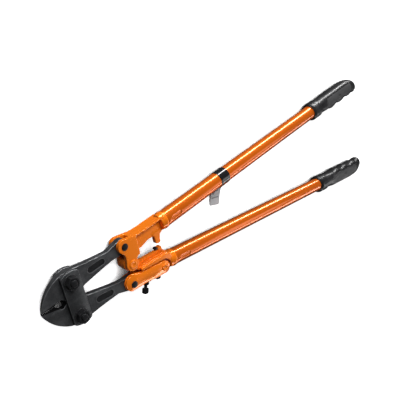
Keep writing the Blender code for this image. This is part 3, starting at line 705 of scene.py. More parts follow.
class Finish:
    """A material whose nodes are added one at a time by the same method."""

    def __init__(self, name: str) -> None:
        """Starts an empty material with a Principled shader."""
        self.material = bpy.data.materials.new(name)
        self.material.use_nodes = True
        self.tree = self.material.node_tree
        self.surface = self.tree.nodes["Principled BSDF"]
        self.place = self.node("ShaderNodeTexCoord", {}, {}, "Object")

    def node(
        self, kind: str, settings: dict, sockets: dict, output: str | int = 0
    ) -> Wire:
        """Adds a node.

        Args:
            kind: the node's type.
            settings: its own settings, set before its sockets.
            sockets: input name or number to a value or a Wire.
            output: the output that is returned.

        Returns:
            The output as a Wire.
        """
        node = self.tree.nodes.new(kind)
        for name, value in settings.items():
            if name == "stops":
                self._stops(node.color_ramp, value)
            else:
                setattr(node, name, value)
        for name, value in sockets.items():
            self._feed(node.inputs[name], value)
        return Wire(self, node.outputs[output])

    def _stops(self, ramp: bpy.types.ColorRamp, stops: list) -> None:
        """Sets a ramp's stops from (place, colour) pairs."""
        while len(ramp.elements) < len(stops):
            ramp.elements.new(1.0)
        for element, (place, colour) in zip(ramp.elements, stops):
            element.position = place
            element.color = (*colour, 1.0)

    def _feed(self, socket: bpy.types.NodeSocket, value: "Wire | float | tuple") -> None:
        """Links a Wire to a socket, or sets the socket's own value.

        Args:
            socket: the input to set.
            value: a link, a number or a colour.
        """
        if isinstance(value, Wire):
            self.tree.links.new(value.socket, socket)
        elif isinstance(value, tuple) and len(value) == 3 and socket.type == "RGBA":
            socket.default_value = (*value, 1.0)
        else:
            socket.default_value = value

    def noise(self, scale: float, detail: float = 3.0, rough: float = 0.55) -> Wire:
        """Noise from 0 to 1 on the piece's own place, with scale in waves a metre."""
        sockets = {"Vector": self.place, "Scale": scale, "Detail": detail, "Roughness": rough}
        return self.node("ShaderNodeTexNoise", {"noise_dimensions": "3D"}, sockets, "Fac")

    def stretched(self, scale: tuple, turn: tuple = (0.0, 0.0, 0.0)) -> Wire:
        """The piece's place, turned and stretched, for marks that run one way."""
        sockets = {"Vector": self.place, "Scale": scale, "Rotation": turn}
        return self.node("ShaderNodeMapping", {}, sockets)

    def cells(self, scale: float, feature: str = "F1") -> Wire:
        """Distance to the nearest cell point."""
        sockets = {"Vector": self.place, "Scale": scale}
        return self.node("ShaderNodeTexVoronoi", {"feature": feature}, sockets, "Distance")

    def wear(self) -> Wire:
        """The piece's wear values."""
        return self.node("ShaderNodeAttribute", {"attribute_name": "wear"}, {}, "Fac")

    def mix(self, share: Wire | float, first: "Wire | tuple", second: "Wire | tuple") -> Wire:
        """A colour between two, by share.

        Args:
            share: how much of the second.
            first: the first colour.
            second: the second colour.

        Returns:
            The mixed colour.
        """
        settings = {"data_type": "RGBA", "blend_type": "MIX"}
        node = self.node("ShaderNodeMix", settings, {}, 2).socket.node
        self._feed(node.inputs[0], share)
        self._feed(node.inputs[6], first)
        self._feed(node.inputs[7], second)
        return Wire(self, node.outputs[2])

    def bump(self, height: Wire, distance: float, strength: float = 1.0) -> None:
        """Raises the surface by height times distance in metres."""
        sockets = {"Height": height, "Distance": distance, "Strength": strength}
        self.finish({"Normal": self.node("ShaderNodeBump", {}, sockets)})

    def finish(self, sockets: dict) -> bpy.types.Material:
        """Sets or links the Principled shader's sockets and returns the material."""
        for name, value in sockets.items():
            self._feed(self.surface.inputs[name], value)
        return self.material


@dataclass(frozen=True)
class Enamel:
    """Glossy orange enamel over tube or cast steel.

    Attributes:
        name: the material's name.
        colour: the paint.
        shade: a darker paint, used in random clouds and as painted shade in hollows.
        metal: how far the paint's own reflection is orange.
        cast: how far the casting under it is uneven, from 0 to 1.
    """

    name: str = "orange_enamel"
    colour: tuple = (0.90, 0.205, 0.006)
    shade: tuple = (0.50, 0.070, 0.003)
    metal: float = 0.36
    cast: float = 1.0

    def build(self) -> bpy.types.Material:
        """Paint with a faint orange peel, thin places, dust nibs, a few chips on the edges and
        painted shade in hollows.

        Returns:
            The finished material.
        """
        finish = Finish(self.name)
        wear = finish.wear()
        cloud = finish.noise(22.0, 4.0)
        # Painted shade: concave places (negative wear) are mixed toward the shade colour, in uneven
        # patches.
        hollow = (0.0 - wear).above(0.05, 0.8)
        hollow_shade_patches = finish.noise(130.0, 5.0, 0.65).above(0.45, 0.75)
        dark = cloud.above(0.40, 0.75) * 0.20 + hollow * (0.55 + 0.25 * hollow_shade_patches)
        paint = finish.mix(dark, self.colour, self.shade)
        thin = wear.above(0.45, 1.0) * finish.noise(260.0, 5.0).above(0.48, 0.62) * 0.40
        paint = finish.mix(thin, paint, (1.0, 0.36, 0.04))
        chips = wear.above(0.72, 0.95) * finish.noise(520.0, 4.0, 0.7).above(0.655, 0.67)
        paint = finish.mix(chips, paint, (0.10, 0.085, 0.075))
        smear = finish.noise(60.0, 5.0, 0.65).above(0.45, 0.8)
        peel = finish.noise(150.0, 1.0)
        lump = finish.noise(110.0, 4.0)
        nibs = (1.0 - finish.cells(650.0)).above(0.95, 1.0)
        height = peel * 0.03 + lump * (0.14 * self.cast) + nibs * (0.06 * self.cast) - chips * 0.9
        finish.bump(height, 0.00008, 0.35)
        return finish.finish(
            {
                "Base Color": paint,
                "Metallic": self.metal - chips * self.metal,
                "Roughness": smear * (0.03 + 0.07 * self.cast) + chips * 0.35 + hollow * 0.15 + 0.24,
                "Coat Weight": 0.55 - chips * 0.55,
                "Coat Roughness": 0.07,
                "Specular IOR Level": 0.5,
            }
        )


@dataclass(frozen=True)
class ForgedSteel:
    """Drop forged steel with a dark heat treated skin.

    Attributes:
        name: the material's name.
        skin: the dark scale.
        bright: the grey that shows through.
        edge: rubbed edges.
    """

    name: str = "forged_steel"
    skin: tuple = (0.034, 0.035, 0.037)
    bright: tuple = (0.066, 0.068, 0.071)
    edge: tuple = (0.30, 0.305, 0.315)

    def build(self) -> bpy.types.Material:
        """Mottled scale, fine blasting pits, rubbed edges, and near black wherever the wear is
        negative: painted shade on the ground bevel, the throat walls and the straps' front walls, and
        a darkened sunk oval.

        Returns:
            The finished material.
        """
        finish = Finish(self.name)
        wear = finish.wear()
        patches = finish.noise(48.0, 6.0, 0.62)
        grain = finish.noise(900.0, 3.0, 0.6)
        colour = finish.mix(patches.above(0.38, 0.66), self.skin, self.bright)
        colour = finish.mix(grain.above(0.42, 0.72) * 0.22, colour, (0.14, 0.145, 0.15))
        rub = wear.above(0.30, 0.95) * (finish.noise(160.0, 4.0).above(0.30, 0.62) * 0.6 + 0.25)
        colour = finish.mix(rub, colour, self.edge)
        # Painted shade: negative wear turns the colour near black (ground bevel, throat walls,
        # straps' front walls and the sunk oval).
        hollow = (0.0 - wear).above(0.15, 0.95)
        colour = finish.mix(hollow * 0.94, colour, (0.004, 0.004, 0.0045))
        pits = finish.cells(1500.0).above(0.0, 0.45)
        lump = finish.noise(130.0, 4.0, 0.6)
        finish.bump(grain * 0.25 + pits * 0.25 + lump * 0.9, 0.00010, 0.60)
        return finish.finish(
            {
                "Base Color": colour,
                "Metallic": 0.55 + rub * 0.35,
                "Roughness": patches * 0.16 + grain * 0.10 + 0.37 - rub * 0.12 + hollow * 0.2,
                "Specular IOR Level": 0.5,
            }
        )


@dataclass(frozen=True)
class BlackOxide:
    """Oiled black oxide on turned bolts, nuts, pins and screws.

    Attributes:
        name: the material's name.
        skin: the oxide.
        edge: steel that shows on the corners.
    """

    name: str = "black_oxide"
    skin: tuple = (0.016, 0.0165, 0.018)
    edge: tuple = (0.15, 0.15, 0.155)

    def build(self) -> bpy.types.Material:
        """Faint turning marks, an uneven oil film and bright corners.

        Returns:
            The finished material.
        """
        finish = Finish(self.name)
        wear = finish.wear()
        film = finish.noise(190.0, 4.0)
        rub = wear.above(0.55, 1.0) * (finish.noise(500.0, 3.0).above(0.42, 0.62) * 0.75 + 0.1)
        colour = finish.mix(film * 0.6, self.skin, (0.035, 0.035, 0.037))
        colour = finish.mix(rub, colour, self.edge)
        marks = finish.node(
            "ShaderNodeTexNoise",
            {"noise_dimensions": "3D"},
            {"Vector": finish.stretched((300.0, 300.0, 2600.0)), "Scale": 1.0, "Detail": 2.0},
            "Fac",
        )
        finish.bump(marks * 0.25 + finish.noise(1300.0, 2.0) * 0.3, 0.00004, 0.6)
        return finish.finish(
            {
                "Base Color": colour,
                "Metallic": 0.65 + rub * 0.3,
                "Roughness": film * 0.18 + 0.24,
                "Specular IOR Level": 0.5,
            }
        )


@dataclass(frozen=True)
class MouldedRubber:
    """Black rubber from a spark eroded mould.

    Attributes:
        name: the material's name.
        colour: the rubber.
        bloom: the pale film on it.
        grain: depth of the mould's texture in metres.
    """

    name: str = "grip_rubber"
    colour: tuple = (0.0075, 0.0075, 0.008)
    bloom: tuple = (0.045, 0.045, 0.046)
    grain: float = 0.00004

    def build(self) -> bpy.types.Material:
        """A fine grain that is flatter and shinier where hands rub it.

        Returns:
            The finished material.
        """
        finish = Finish(self.name)
        wear = finish.wear()
        grain = finish.noise(1500.0, 3.0, 0.6)
        leather = finish.cells(1050.0)
        haze = finish.noise(38.0, 5.0, 0.6).above(0.42, 0.78)
        bare = wear.above(-0.9, -0.4)
        shade = haze * 0.25 + wear.above(0.3, 1.0) * 0.18 + (1.0 - bare) * 0.75
        colour = finish.mix(shade, self.colour, self.bloom)
        finish.bump(grain * 0.5 + leather * 0.5, self.grain, 0.55)
        return finish.finish(
            {
                "Base Color": colour,
                "Roughness": haze * 0.10 + grain * 0.06 + 0.52 - bare * 0.22,
                "Specular IOR Level": 0.5,
            }
        )


@dataclass(frozen=True)
class GlossTape:
    """Glossy black tape round the tube.

    Attributes:
        name: the material's name.
        colour: the tape.
    """

    name: str = "gloss_tape"
    colour: tuple = (0.007, 0.0072, 0.008)

    def build(self) -> bpy.types.Material:
        """Smooth film with a few soft wrinkles.

        Returns:
            The finished material.
        """
        finish = Finish(self.name)
        wrinkle = finish.node(
            "ShaderNodeTexNoise",
            {"noise_dimensions": "3D"},
            {"Vector": finish.stretched((160.0, 55.0, 55.0)), "Scale": 1.0, "Detail": 3.0},
            "Fac",
        )
        finish.bump(wrinkle, 0.00022, 0.5)
        dust = finish.noise(900.0, 3.0).above(0.62, 0.72)
        return finish.finish(
            {
                "Base Color": finish.mix(dust * 0.25, self.colour, (0.12, 0.12, 0.12)),
                "Roughness": finish.noise(70.0, 4.0) * 0.10 + 0.10,
                "Coat Weight": 0.6,
                "Coat Roughness": 0.05,
            }
        )


@dataclass(frozen=True)
class Card:
    """Pale coated card with faint plain grey panels and no lettering.

    Attributes:
        name: the material's name.
        colour: the card.
        panel: the grey of its blank panels.
    """

    name: str = "tag_card"
    colour: tuple = (0.43, 0.435, 0.445)
    panel: tuple = (0.13, 0.132, 0.138)

    def build(self) -> bpy.types.Material:
        """Paper fibres and a soft handled crease, with the panels kept in the wear values.

        Returns:
            The finished material.
        """
        finish = Finish(self.name)
        fibre = finish.noise(1400.0, 4.0, 0.7)
        cloud = finish.noise(75.0, 4.0)
        ink = finish.wear().above(0.35, 0.65)
        colour = finish.mix(cloud.above(0.3, 0.8) * 0.35, self.colour, (0.33, 0.335, 0.35))
        colour = finish.mix(ink * (fibre.above(0.25, 0.6) * 0.35 + 0.6), colour, self.panel)
        finish.bump(fibre * 0.3 + finish.noise(55.0, 3.0) * 1.2, 0.00020, 0.5)
        return finish.finish(
            {"Base Color": colour, "Roughness": fibre * 0.1 + 0.40, "Coat Weight": 0.15}
        )


@dataclass(frozen=True)
class PaleFloor:
    """The studio's pale floor.

    Attributes:
        name: the material's name.
        colour: the floor.
        reach: how near the tool has to be to shade it, in metres.
    """

    name: str = "pale_floor"
    colour: tuple = (0.93, 0.93, 0.93)
    reach: float = 0.035

    def build(self) -> bpy.types.Material:
        """A matt sheet that shines evenly from within, with a painted contact shadow: it fades to
        black close under the tool.
        """
        finish = Finish(self.name)
        near = finish.node("ShaderNodeAmbientOcclusion", {"samples": 8}, {"Distance": self.reach}, 1)
        # Painted contact shadow: the floor's emission and colour fade to black where the tool is
        # close above.
        floor_shine_with_painted_shadow = finish.mix(near.above(0.25, 0.45), (0.0, 0.0, 0.0), self.colour)
        sockets = {"Emission Color": floor_shine_with_painted_shadow, "Emission Strength": 0.9}
        return finish.finish({"Base Color": floor_shine_with_painted_shadow, "Roughness": 0.75, **sockets})


@dataclass
class Finishes:
    """Every material of the tool, made once."""

    tube: bpy.types.Material = field(init=False)
    casting: bpy.types.Material = field(init=False)
    forged: bpy.types.Material = field(init=False)
    oxide: bpy.types.Material = field(init=False)
    rubber: bpy.types.Material = field(init=False)
    tape: bpy.types.Material = field(init=False)
    card: bpy.types.Material = field(init=False)

    def __post_init__(self) -> None:
        """Builds the materials."""
        self.tube = Enamel(
            name="orange_tube_enamel", colour=(0.72, 0.135, 0.004), metal=0.55, cast=0.0
        ).build()
        self.casting = Enamel(name="orange_casting_enamel").build()
        self.forged = ForgedSteel().build()
        self.oxide = BlackOxide().build()
        self.rubber = MouldedRubber().build()
        self.tape = GlossTape().build()
        self.card = Card().build()


# ---------------------------------------------------------------- the tool's shared sizes

BOLT_Y = 29.4
JAW_PIN = (103.0, 35.3)
HEEL = (103.0, 34.2)
CENTRE = (109.7, 0.0)
LINK_RIVET = (170.5, -39.5)
GAP = 0.3
JAW_HALF = 6.0
STRAP_INNER, STRAP_OUTER = 6.3, 12.6
LINK_INNER, LINK_OUTER = 6.4, 12.9
SLOT_HALF, FORK_HALF = 6.6, 13.8
FLOOR_DROP = 20.0
TUBE_START = 199.0
TUBE_RADIUS = 15.0
TUBE_WALL = 2.0
SLOPE = 0.109
OFFSET = 15.7
SLOPE_ANGLE = float(np.arctan(SLOPE))
GRIP_LENGTH = 199.5
GRIP_START = 916.0 - 52.9 - GRIP_LENGTH * float(np.cos(SLOPE_ANGLE)) - 0.9
SCREW_TIP = (140.5, -32.5)
SCREW_TILT = np.radians(20.0)


def handle_frame(x: float, side: Side) -> tuple[Array, Array]:
    """The matrix and shift that lay a piece standing along Z on a tube's axis.

    Its X turns to the tube's outer side, its Y to the row's Z and its Z along the tube.

    Args:
        x: distance along the tool.
        side: which handle.
    """
    y = side.value
    along = np.array([np.cos(SLOPE_ANGLE), y * np.sin(SLOPE_ANGLE), 0.0])
    outer = np.array([-np.sin(SLOPE_ANGLE), y * np.cos(SLOPE_ANGLE), 0.0])
    matrix = np.stack([outer, np.array([0.0, 0.0, 1.0]), along], 1)
    return matrix, np.array([x, y * (OFFSET + SLOPE * x), 0.0])


def screw_frame() -> tuple[Array, Array]:
    """The matrix and shift that hang a piece standing along Z from the screw's tip."""
    down = np.array([-np.sin(SCREW_TILT), -np.cos(SCREW_TILT), 0.0])
    across = np.array([np.cos(SCREW_TILT), -np.sin(SCREW_TILT), 0.0])
    return np.stack([across, np.array([0.0, 0.0, 1.0]), down], 1), np.array([*SCREW_TIP, 0.0])


def at(shell: Shell, place: tuple, height: float = 0.0) -> Shell:
    """The shell moved to a point of the tool's plane."""
    return shell.turned(np.eye(3), np.array([*place, height]))


def on_side(shell: Shell, side: Side) -> Shell:
    """The shell, or its mirror image for the lower side."""
    return shell if side is Side.UPPER else shell.mirrored()


# ---------------------------------------------------------------- sub-assemblies


@dataclass
class Jaw:
    """One forged jaw: blade, knuckle and arm as a single surface.

    Attributes:
        side: which of the two.
        tip: x of the blade's tip.
        heel: radius of the heel.
        bevel: width of the cutting bevel.
        tip_half: half thickness at the tip.
        round_over: radius of the face edges.
        stations: rings along the jaw.
        across: points across one face.
    """

    side: Side
    tip: float = -52.9
    heel: float = 12.6
    bevel: float = 8.0
    tip_half: float = 2.8
    round_over: float = 1.1
    stations: int = 430
    across: int = 70

    def outer_line(self) -> Array:
        """The back of the blade and the outer side of the arm, tip first."""
        blade = bulge((-8.0, 44.2), (self.tip, 0.5), 8.2, 60)[::-1]
        back = np.array([(12.0, 44.0), (20.0, 43.2), (36.0, 41.3), (56.0, 39.8), (75.0, 38.6)])
        heel = arc(HEEL, self.heel, 112.0, 0.0, 40)
        return np.concatenate([blade, back, heel])

    def inner_line(self) -> Array:
        """The cutting edge, the throat, the knuckle and the arm's inner side, tip first.

        Returns:
            Points from the tip to the heel.
        """
        half = GAP / 2
        start = np.degrees(np.arctan2(7.2 - BOLT_Y, -19.05))
        knuckle = arc((0.0, BOLT_Y), BOLT_Y - half, start, -52.5, 50)
        edge = np.array([(self.tip, 0.5), (self.tip + 0.5, half), (-30.0, half), (-22.5, 7.2)])
        arm = np.array([(24.0, 9.4), (60.0, 16.9), (80.0, 20.6)])
        heel = arc(HEEL, self.heel, -98.0, 0.0, 40)
        return np.concatenate([edge, knuckle, arm, heel])

    def half_thickness(self, x: Array, y: Array, rim: Array) -> Array:
        """Half the thickness over the face.

        The full half thins in a straight line towards the tip. The cutting bevel rises in a
        straight line from the edge, a shallow oval is sunk in the arm, and the rim is a
        quarter round: h - r + sqrt(r^2 - (r - d)^2) at a distance d from the outline.

        Args:
            x: distances along the tool.
            y: distances across the tool.
            rim: distance to the outline.

        Returns:
            Half the thickness at each point.
        """
        end = HEEL[0] + self.heel
        full = 6.0 - (6.0 - self.tip_half) * np.clip((-18.0 - x) / (-18.0 - self.tip), 0, 1)
        full = full - 0.25 * smooth_step(x, 20.0, 60.0) * smooth_step(end - x, 12.0, 40.0)
        rise = 0.3 + (full - 0.3) * np.clip((y - 0.15) / (self.bevel - 0.15), 0, 2)
        ground = smooth_step(-x, 20.4, 21.6)
        face = full + (np.minimum(full, rise) - full) * ground
        oval = self.oval_distance(x, y)
        face = face - 0.9 * smooth_step(-oval, -0.35, 0.35)
        face = face + 0.18 * np.exp(-((oval - 0.9) ** 2) / 0.5)
        r = np.minimum(self.round_over, face * 0.5)
        near = np.clip(rim, 0, r)
        return face - r + np.sqrt(np.maximum(r**2 - (r - near) ** 2, 0))

    @staticmethod
    def oval_distance(x: Array, y: Array) -> Array:
        """Distance outside the oval: |p - nearest point of its middle line| - radius.

        Args:
            x: distances along the tool.
            y: distances across the tool.

        Returns:
            The distance, negative inside the oval.
        """
        first, last, radius = np.array([39.5, 26.8]), np.array([61.0, 28.6]), 5.2
        span = last - first
        share = ((x - first[0]) * span[0] + (y - first[1]) * span[1]) / (span @ span)
        share = np.clip(share, 0, 1)
        gap = np.hypot(x - first[0] - share * span[0], y - first[1] - share * span[1])
        return gap - radius

    def shell(self) -> Shell:
        """Rings across the jaw, front face, outer wall, back face and inner wall in turn.

        Each station is a line x = c from the inner outline to the outer. The stations crowd
        together at the ends and the points at the rims by (1 - cos) / 2.

        Returns:
            The closed surface, in millimetres.
        """
        outer, inner = self.outer_line(), self.inner_line()
        share = np.linspace(0, 1, self.stations)
        eased = 0.45 * share + 0.55 * (1 - np.cos(np.pi * share)) / 2
        x = self.tip + (HEEL[0] + self.heel - self.tip) * eased
        top, bottom = np.interp(x, *outer.T), np.interp(x, *inner.T)
        top[-1] = bottom[-1] = HEEL[1]
        top[0] = bottom[0] = 0.5
        across = (1 - np.cos(np.pi * np.linspace(0, 1, self.across))) / 2
        across = 0.35 * np.linspace(0, 1, self.across) + 0.65 * across
        y = bottom[:, None] + (top - bottom)[:, None] * across
        plane = np.broadcast_to(x[:, None], y.shape)
        outline = np.concatenate([inner, outer[::-1]])
        rim = distance_to(np.stack([plane, y], -1).reshape(-1, 2), outline).reshape(y.shape)
        half = self.half_thickness(plane, y, rim)
        place = np.stack([plane, y, half], -1)
        dent = ripple(place, 26.0, 3) * 0.05 + ripple(place, 9.0, 4) * 0.02
        half = half + dent * smooth_step(rim, 0.5, 3.0)
        half[:, 0] = np.maximum(half[:, 0], 0.12)
        half[:, -1] = np.maximum(half[:, -1], 0.12)
        front = np.stack([plane, y, half], -1)
        back = np.stack([plane, y, -half], -1)[:, ::-1]
        level = np.cos(np.linspace(0, np.pi, 7))[None, 1:-1, None]
        wall_top = self.wall(front[:, -1:], level, -1)
        wall_bottom = self.wall(front[:, :1], -level, 1)
        rows = np.concatenate([front, wall_top, back, wall_bottom], 1)
        wear = np.exp(-(((rim - 0.35) / 0.45) ** 2))
        oval = self.oval_distance(plane, y)
        # A rubbed ring round the sunk oval, and negative wear inside it, which darkens it.
        wear = wear + 0.7 * np.exp(-((oval - 0.7) ** 2) / 0.3) - 0.75 * smooth_step(-oval, -0.3, 0.3)
        # The ground bevel's wear goes to -1: painted shade along the cutting edge.
        reach = 1.6 + 4.4 * (plane - self.tip) / 31.0
        ground = smooth_step(reach - y, -0.5, 0.5) * smooth_step(-plane, 18.0, 20.0)
        wear = np.where(ground > 0.0, wear * (1 - ground) - ground, wear)
        wall = np.full((len(x), level.shape[1]), 0.1)
        # The inner wall in the throat gets -1: painted shade in the throat.
        throat = np.where(x[:, None] < -12.0, -1.0, wall)
        wear = np.concatenate([wear, wall, wear[:, ::-1], throat], 1)
        return grid_shell(rows[:, ::-1], wear[:, ::-1])

    @staticmethod
    def wall(edge: Array, level: Array, inwards: int) -> Array:
        """The rows of a side wall, drawn in a little to leave a flash line in its middle."""
        place = np.repeat(edge, level.shape[1], 1).copy()
        place[..., 2] = edge[..., 2] * level[..., 0]
        draft = 0.10 * np.abs(level[..., 0]) ** 0.7
        place[..., 1] += inwards * draft * np.clip(edge[..., 2] / JAW_HALF, 0, 1)
        return place

    def build(self, shop: Workshop, finishes: Finishes) -> None:
        """Makes the jaw and hangs it on its body."""
        name = "jaw_" + self.side.name.lower()
        body = self.side.name.lower() + "_jaw"
        mesh = shop.mesh(name + "_forging", on_side(self.shell(), self.side))
        shop.place(shop.sharp(mesh, 50.0), body, (name,), Slot.FORGED, finishes.forged)


@dataclass
class Straps:
    """The two straps with their bolts, washers and nuts.

    Attributes:
        hexagon: distance across the flats of the bolt heads and nuts.
        washer: washer radius.
        nut: nut height.
        bolt: bolt radius.
        dark_wall: x below which a strap's side wall is painted near black as shade.
        rim: height of the strap's lit outer rim.
    """

    hexagon: float = 19.0
    washer: float = 12.0
    nut: float = 8.5
    bolt: float = 6.0
    dark_wall: float = -13.0
    rim: float = 0.7

    def outline(self) -> Array:
        """A strap with nearly square corners and bowed ends."""
        end = bulge((15.5, 42.5), (-11.8, 41.5), 3.2, 20)
        sides = [np.array([(17.5, 40.5)]), end, np.array([(-13.8, 39.5)])]
        top = np.concatenate(sides)
        return np.concatenate([top, top[::-1] * np.array([1.0, -1.0])])

    def bolt_shell(self) -> Shell:
        """A bolt: hexagon head below, rod, and a domed, threaded end above the nut.

        Returns:
            The closed surface, in millimetres.
        """
        low = -FLOOR_DROP
        top = STRAP_OUTER + 1.5 + self.nut + 2 * GAP
        head = hex_profile(self.hexagon, low, -STRAP_OUTER - GAP, False, True)
        head = np.concatenate([[[0.0, head[0, 1]]], head, [[0.0, head[-1, 1]]]])
        ring = hex_rows(self.hexagon, head)[::-1]
        edge = np.zeros(ring.shape[:2])
        edge[1:6] = 0.55
        rod = lathe(
            [(0.0, top + 1.4), (4.4, top + 1.2), (5.6, top + 0.4), (5.9, top - 0.5)]
            + [(5.9, -13.2), (0.0, -13.2)],
            64,
            0.5,
        )
        thread = threaded(6.0, 1.25, 0.5, 12.0, top + 0.3)
        return grid_shell(ring, edge).joined(rod, thread)

    def nut_shell(self) -> Shell:
        """A nut: a hexagon chamfered at the top, with a countersunk bore.

        Returns:
            The closed surface, in millimetres.
        """
        low = STRAP_OUTER + 1.5 + 2 * GAP
        high = low + self.nut
        outer = hex_profile(self.hexagon, low, high, True, True)
        inner = np.array([(self.bolt + 0.1, low), (self.bolt + 0.1, high - 0.9)])
        rows = np.concatenate([outer, inner, [(self.bolt + 0.9, high)]])
        ring = hex_rows(self.hexagon, rows)[::-1]
        edge = np.zeros(ring.shape[:2])
        edge[3:9] = edge[-9:] = 0.6
        return torus_shell(ring, edge)

    def washer_shell(self) -> Shell:
        """A punched washer with one rounded rim.

        Returns:
            The closed surface, in millimetres.
        """
        low = STRAP_OUTER + GAP
        high = low + 1.5
        r, inner = self.washer, self.bolt + 0.25
        loop = [(inner, high), (r - 0.6, high), (r - 0.2, high - 0.15), (r, high - 0.5)]
        loop += [(r, low + 0.1), (r - 0.1, low), (inner, low)]
        rows = lathe_rows(np.array(loop), 96)[::-1]
        edge = np.zeros(rows.shape[:2])
        edge[3:6] = 0.9
        return torus_shell(rows, edge)

    def build(self, shop: Workshop, finishes: Finishes) -> None:
        """Makes the straps and their hardware.

        Args:
            shop: places the finished meshes on their bodies.
            finishes: the tool's materials.
        """
        for label, face in (("front", 1), ("back", -1)):
            low, high = sorted((face * STRAP_INNER, face * STRAP_OUTER))
            plate = rounded_plate(self.outline(), low, high, 0.9)
            level = np.abs(plate.points[:, 2])
            # The strap's front side wall, below its lit rim, gets wear -1: painted shade.
            wall = (plate.points[:, 0] < self.dark_wall) & (level < STRAP_OUTER - self.rim)
            plate.wear = np.where(wall, -1.0, plate.worn())
            name = "strap_" + label
            mesh = shop.mesh(name + "_plate", plate)
            shop.place(mesh, "straps", (name,), Slot.FORGED, finishes.forged)
        for side in Side:
            label = side.name.lower()
            place = (0.0, side.value * BOLT_Y)
            turn = np.radians(17.0 if side is Side.UPPER else 41.0)
            spin = np.array(Matrix.Rotation(turn, 3, "Z"))
            for kind, shell in (
                ("bolt", self.bolt_shell()),
                ("nut", self.nut_shell()),
                ("washer", self.washer_shell()),
            ):
                shell = at(shell.turned(spin, np.zeros(3)), place)
                mesh = shop.sharp(shop.mesh(f"jaw_{kind}_{label}_turned", shell), 35.0)
                node = f"jaw_{kind}_{label}"
                shop.place(mesh, "straps", (node,), Slot.BLACK, finishes.oxide)


@dataclass
class Pins:
    """The black jaw pins and the painted rivets.

    Attributes:
        radius: radius of each shank.
        head: radius of the black pin heads.
        centre_head: radius of the centre rivet's heads.
        link_head: radius of the link rivet's heads.
    """

    radius: float = 5.0
    head: float = 6.2
    centre_head: float = 7.6
    link_head: float = 6.4

    def pin(self, outer: float) -> Shell:
        """A shank with a low dome at each end."""
        face, top = outer + GAP, outer + GAP + 1.6
        half = [(0.0, top), (2.6, top - 0.05), (4.6, top - 0.35), (5.9, top - 1.05)]
        half += [(self.head, top - 1.3), (self.head, face), (self.radius, face)]
        return lathe(half + [(r, -h) for r, h in reversed(half)], 64, 0.35)

    def rivet(self, outer: float, head: float) -> Shell:
        """A shank whose heads are rolled over round a dished middle."""
        face, top = outer + GAP, outer + GAP + 1.5
        half = [(0.0, top - 1.1), (head * 0.34, top - 1.05), (head * 0.5, top - 0.25)]
        half += [(head * 0.64, top), (head * 0.82, top - 0.05), (head, top - 0.75)]
        half += [(head, face), (self.radius, face)]
        return lathe(half + [(r, -h) for r, h in reversed(half)], 80, 0.6)

    def build(self, shop: Workshop, finishes: Finishes) -> None:
        """Makes the two pins and the two rivets.

        Args:
            shop: places the finished meshes on their bodies.
            finishes: the tool's materials.
        """
        lower_pin = (JAW_PIN[0], -JAW_PIN[1])
        rows = (
            ("upper_jaw_pin", JAW_PIN, self.pin(FORK_HALF), "upper_handle"),
            ("lower_jaw_pin", lower_pin, self.pin(LINK_OUTER), "link_arm"),
            ("centre_rivet", CENTRE, self.rivet(FORK_HALF, self.centre_head), "lower_handle"),
            ("link_rivet", LINK_RIVET, self.rivet(LINK_OUTER, self.link_head), "lower_handle"),
        )
        for node, place, shell, body in rows:
            black = node.endswith("pin")
            slot = Slot.BLACK if black else Slot.ORANGE
            paint = finishes.oxide if black else finishes.casting
            mesh = shop.mesh(node + "_headed", at(shell, place))
            shop.place(mesh, body, (node,), slot, paint)


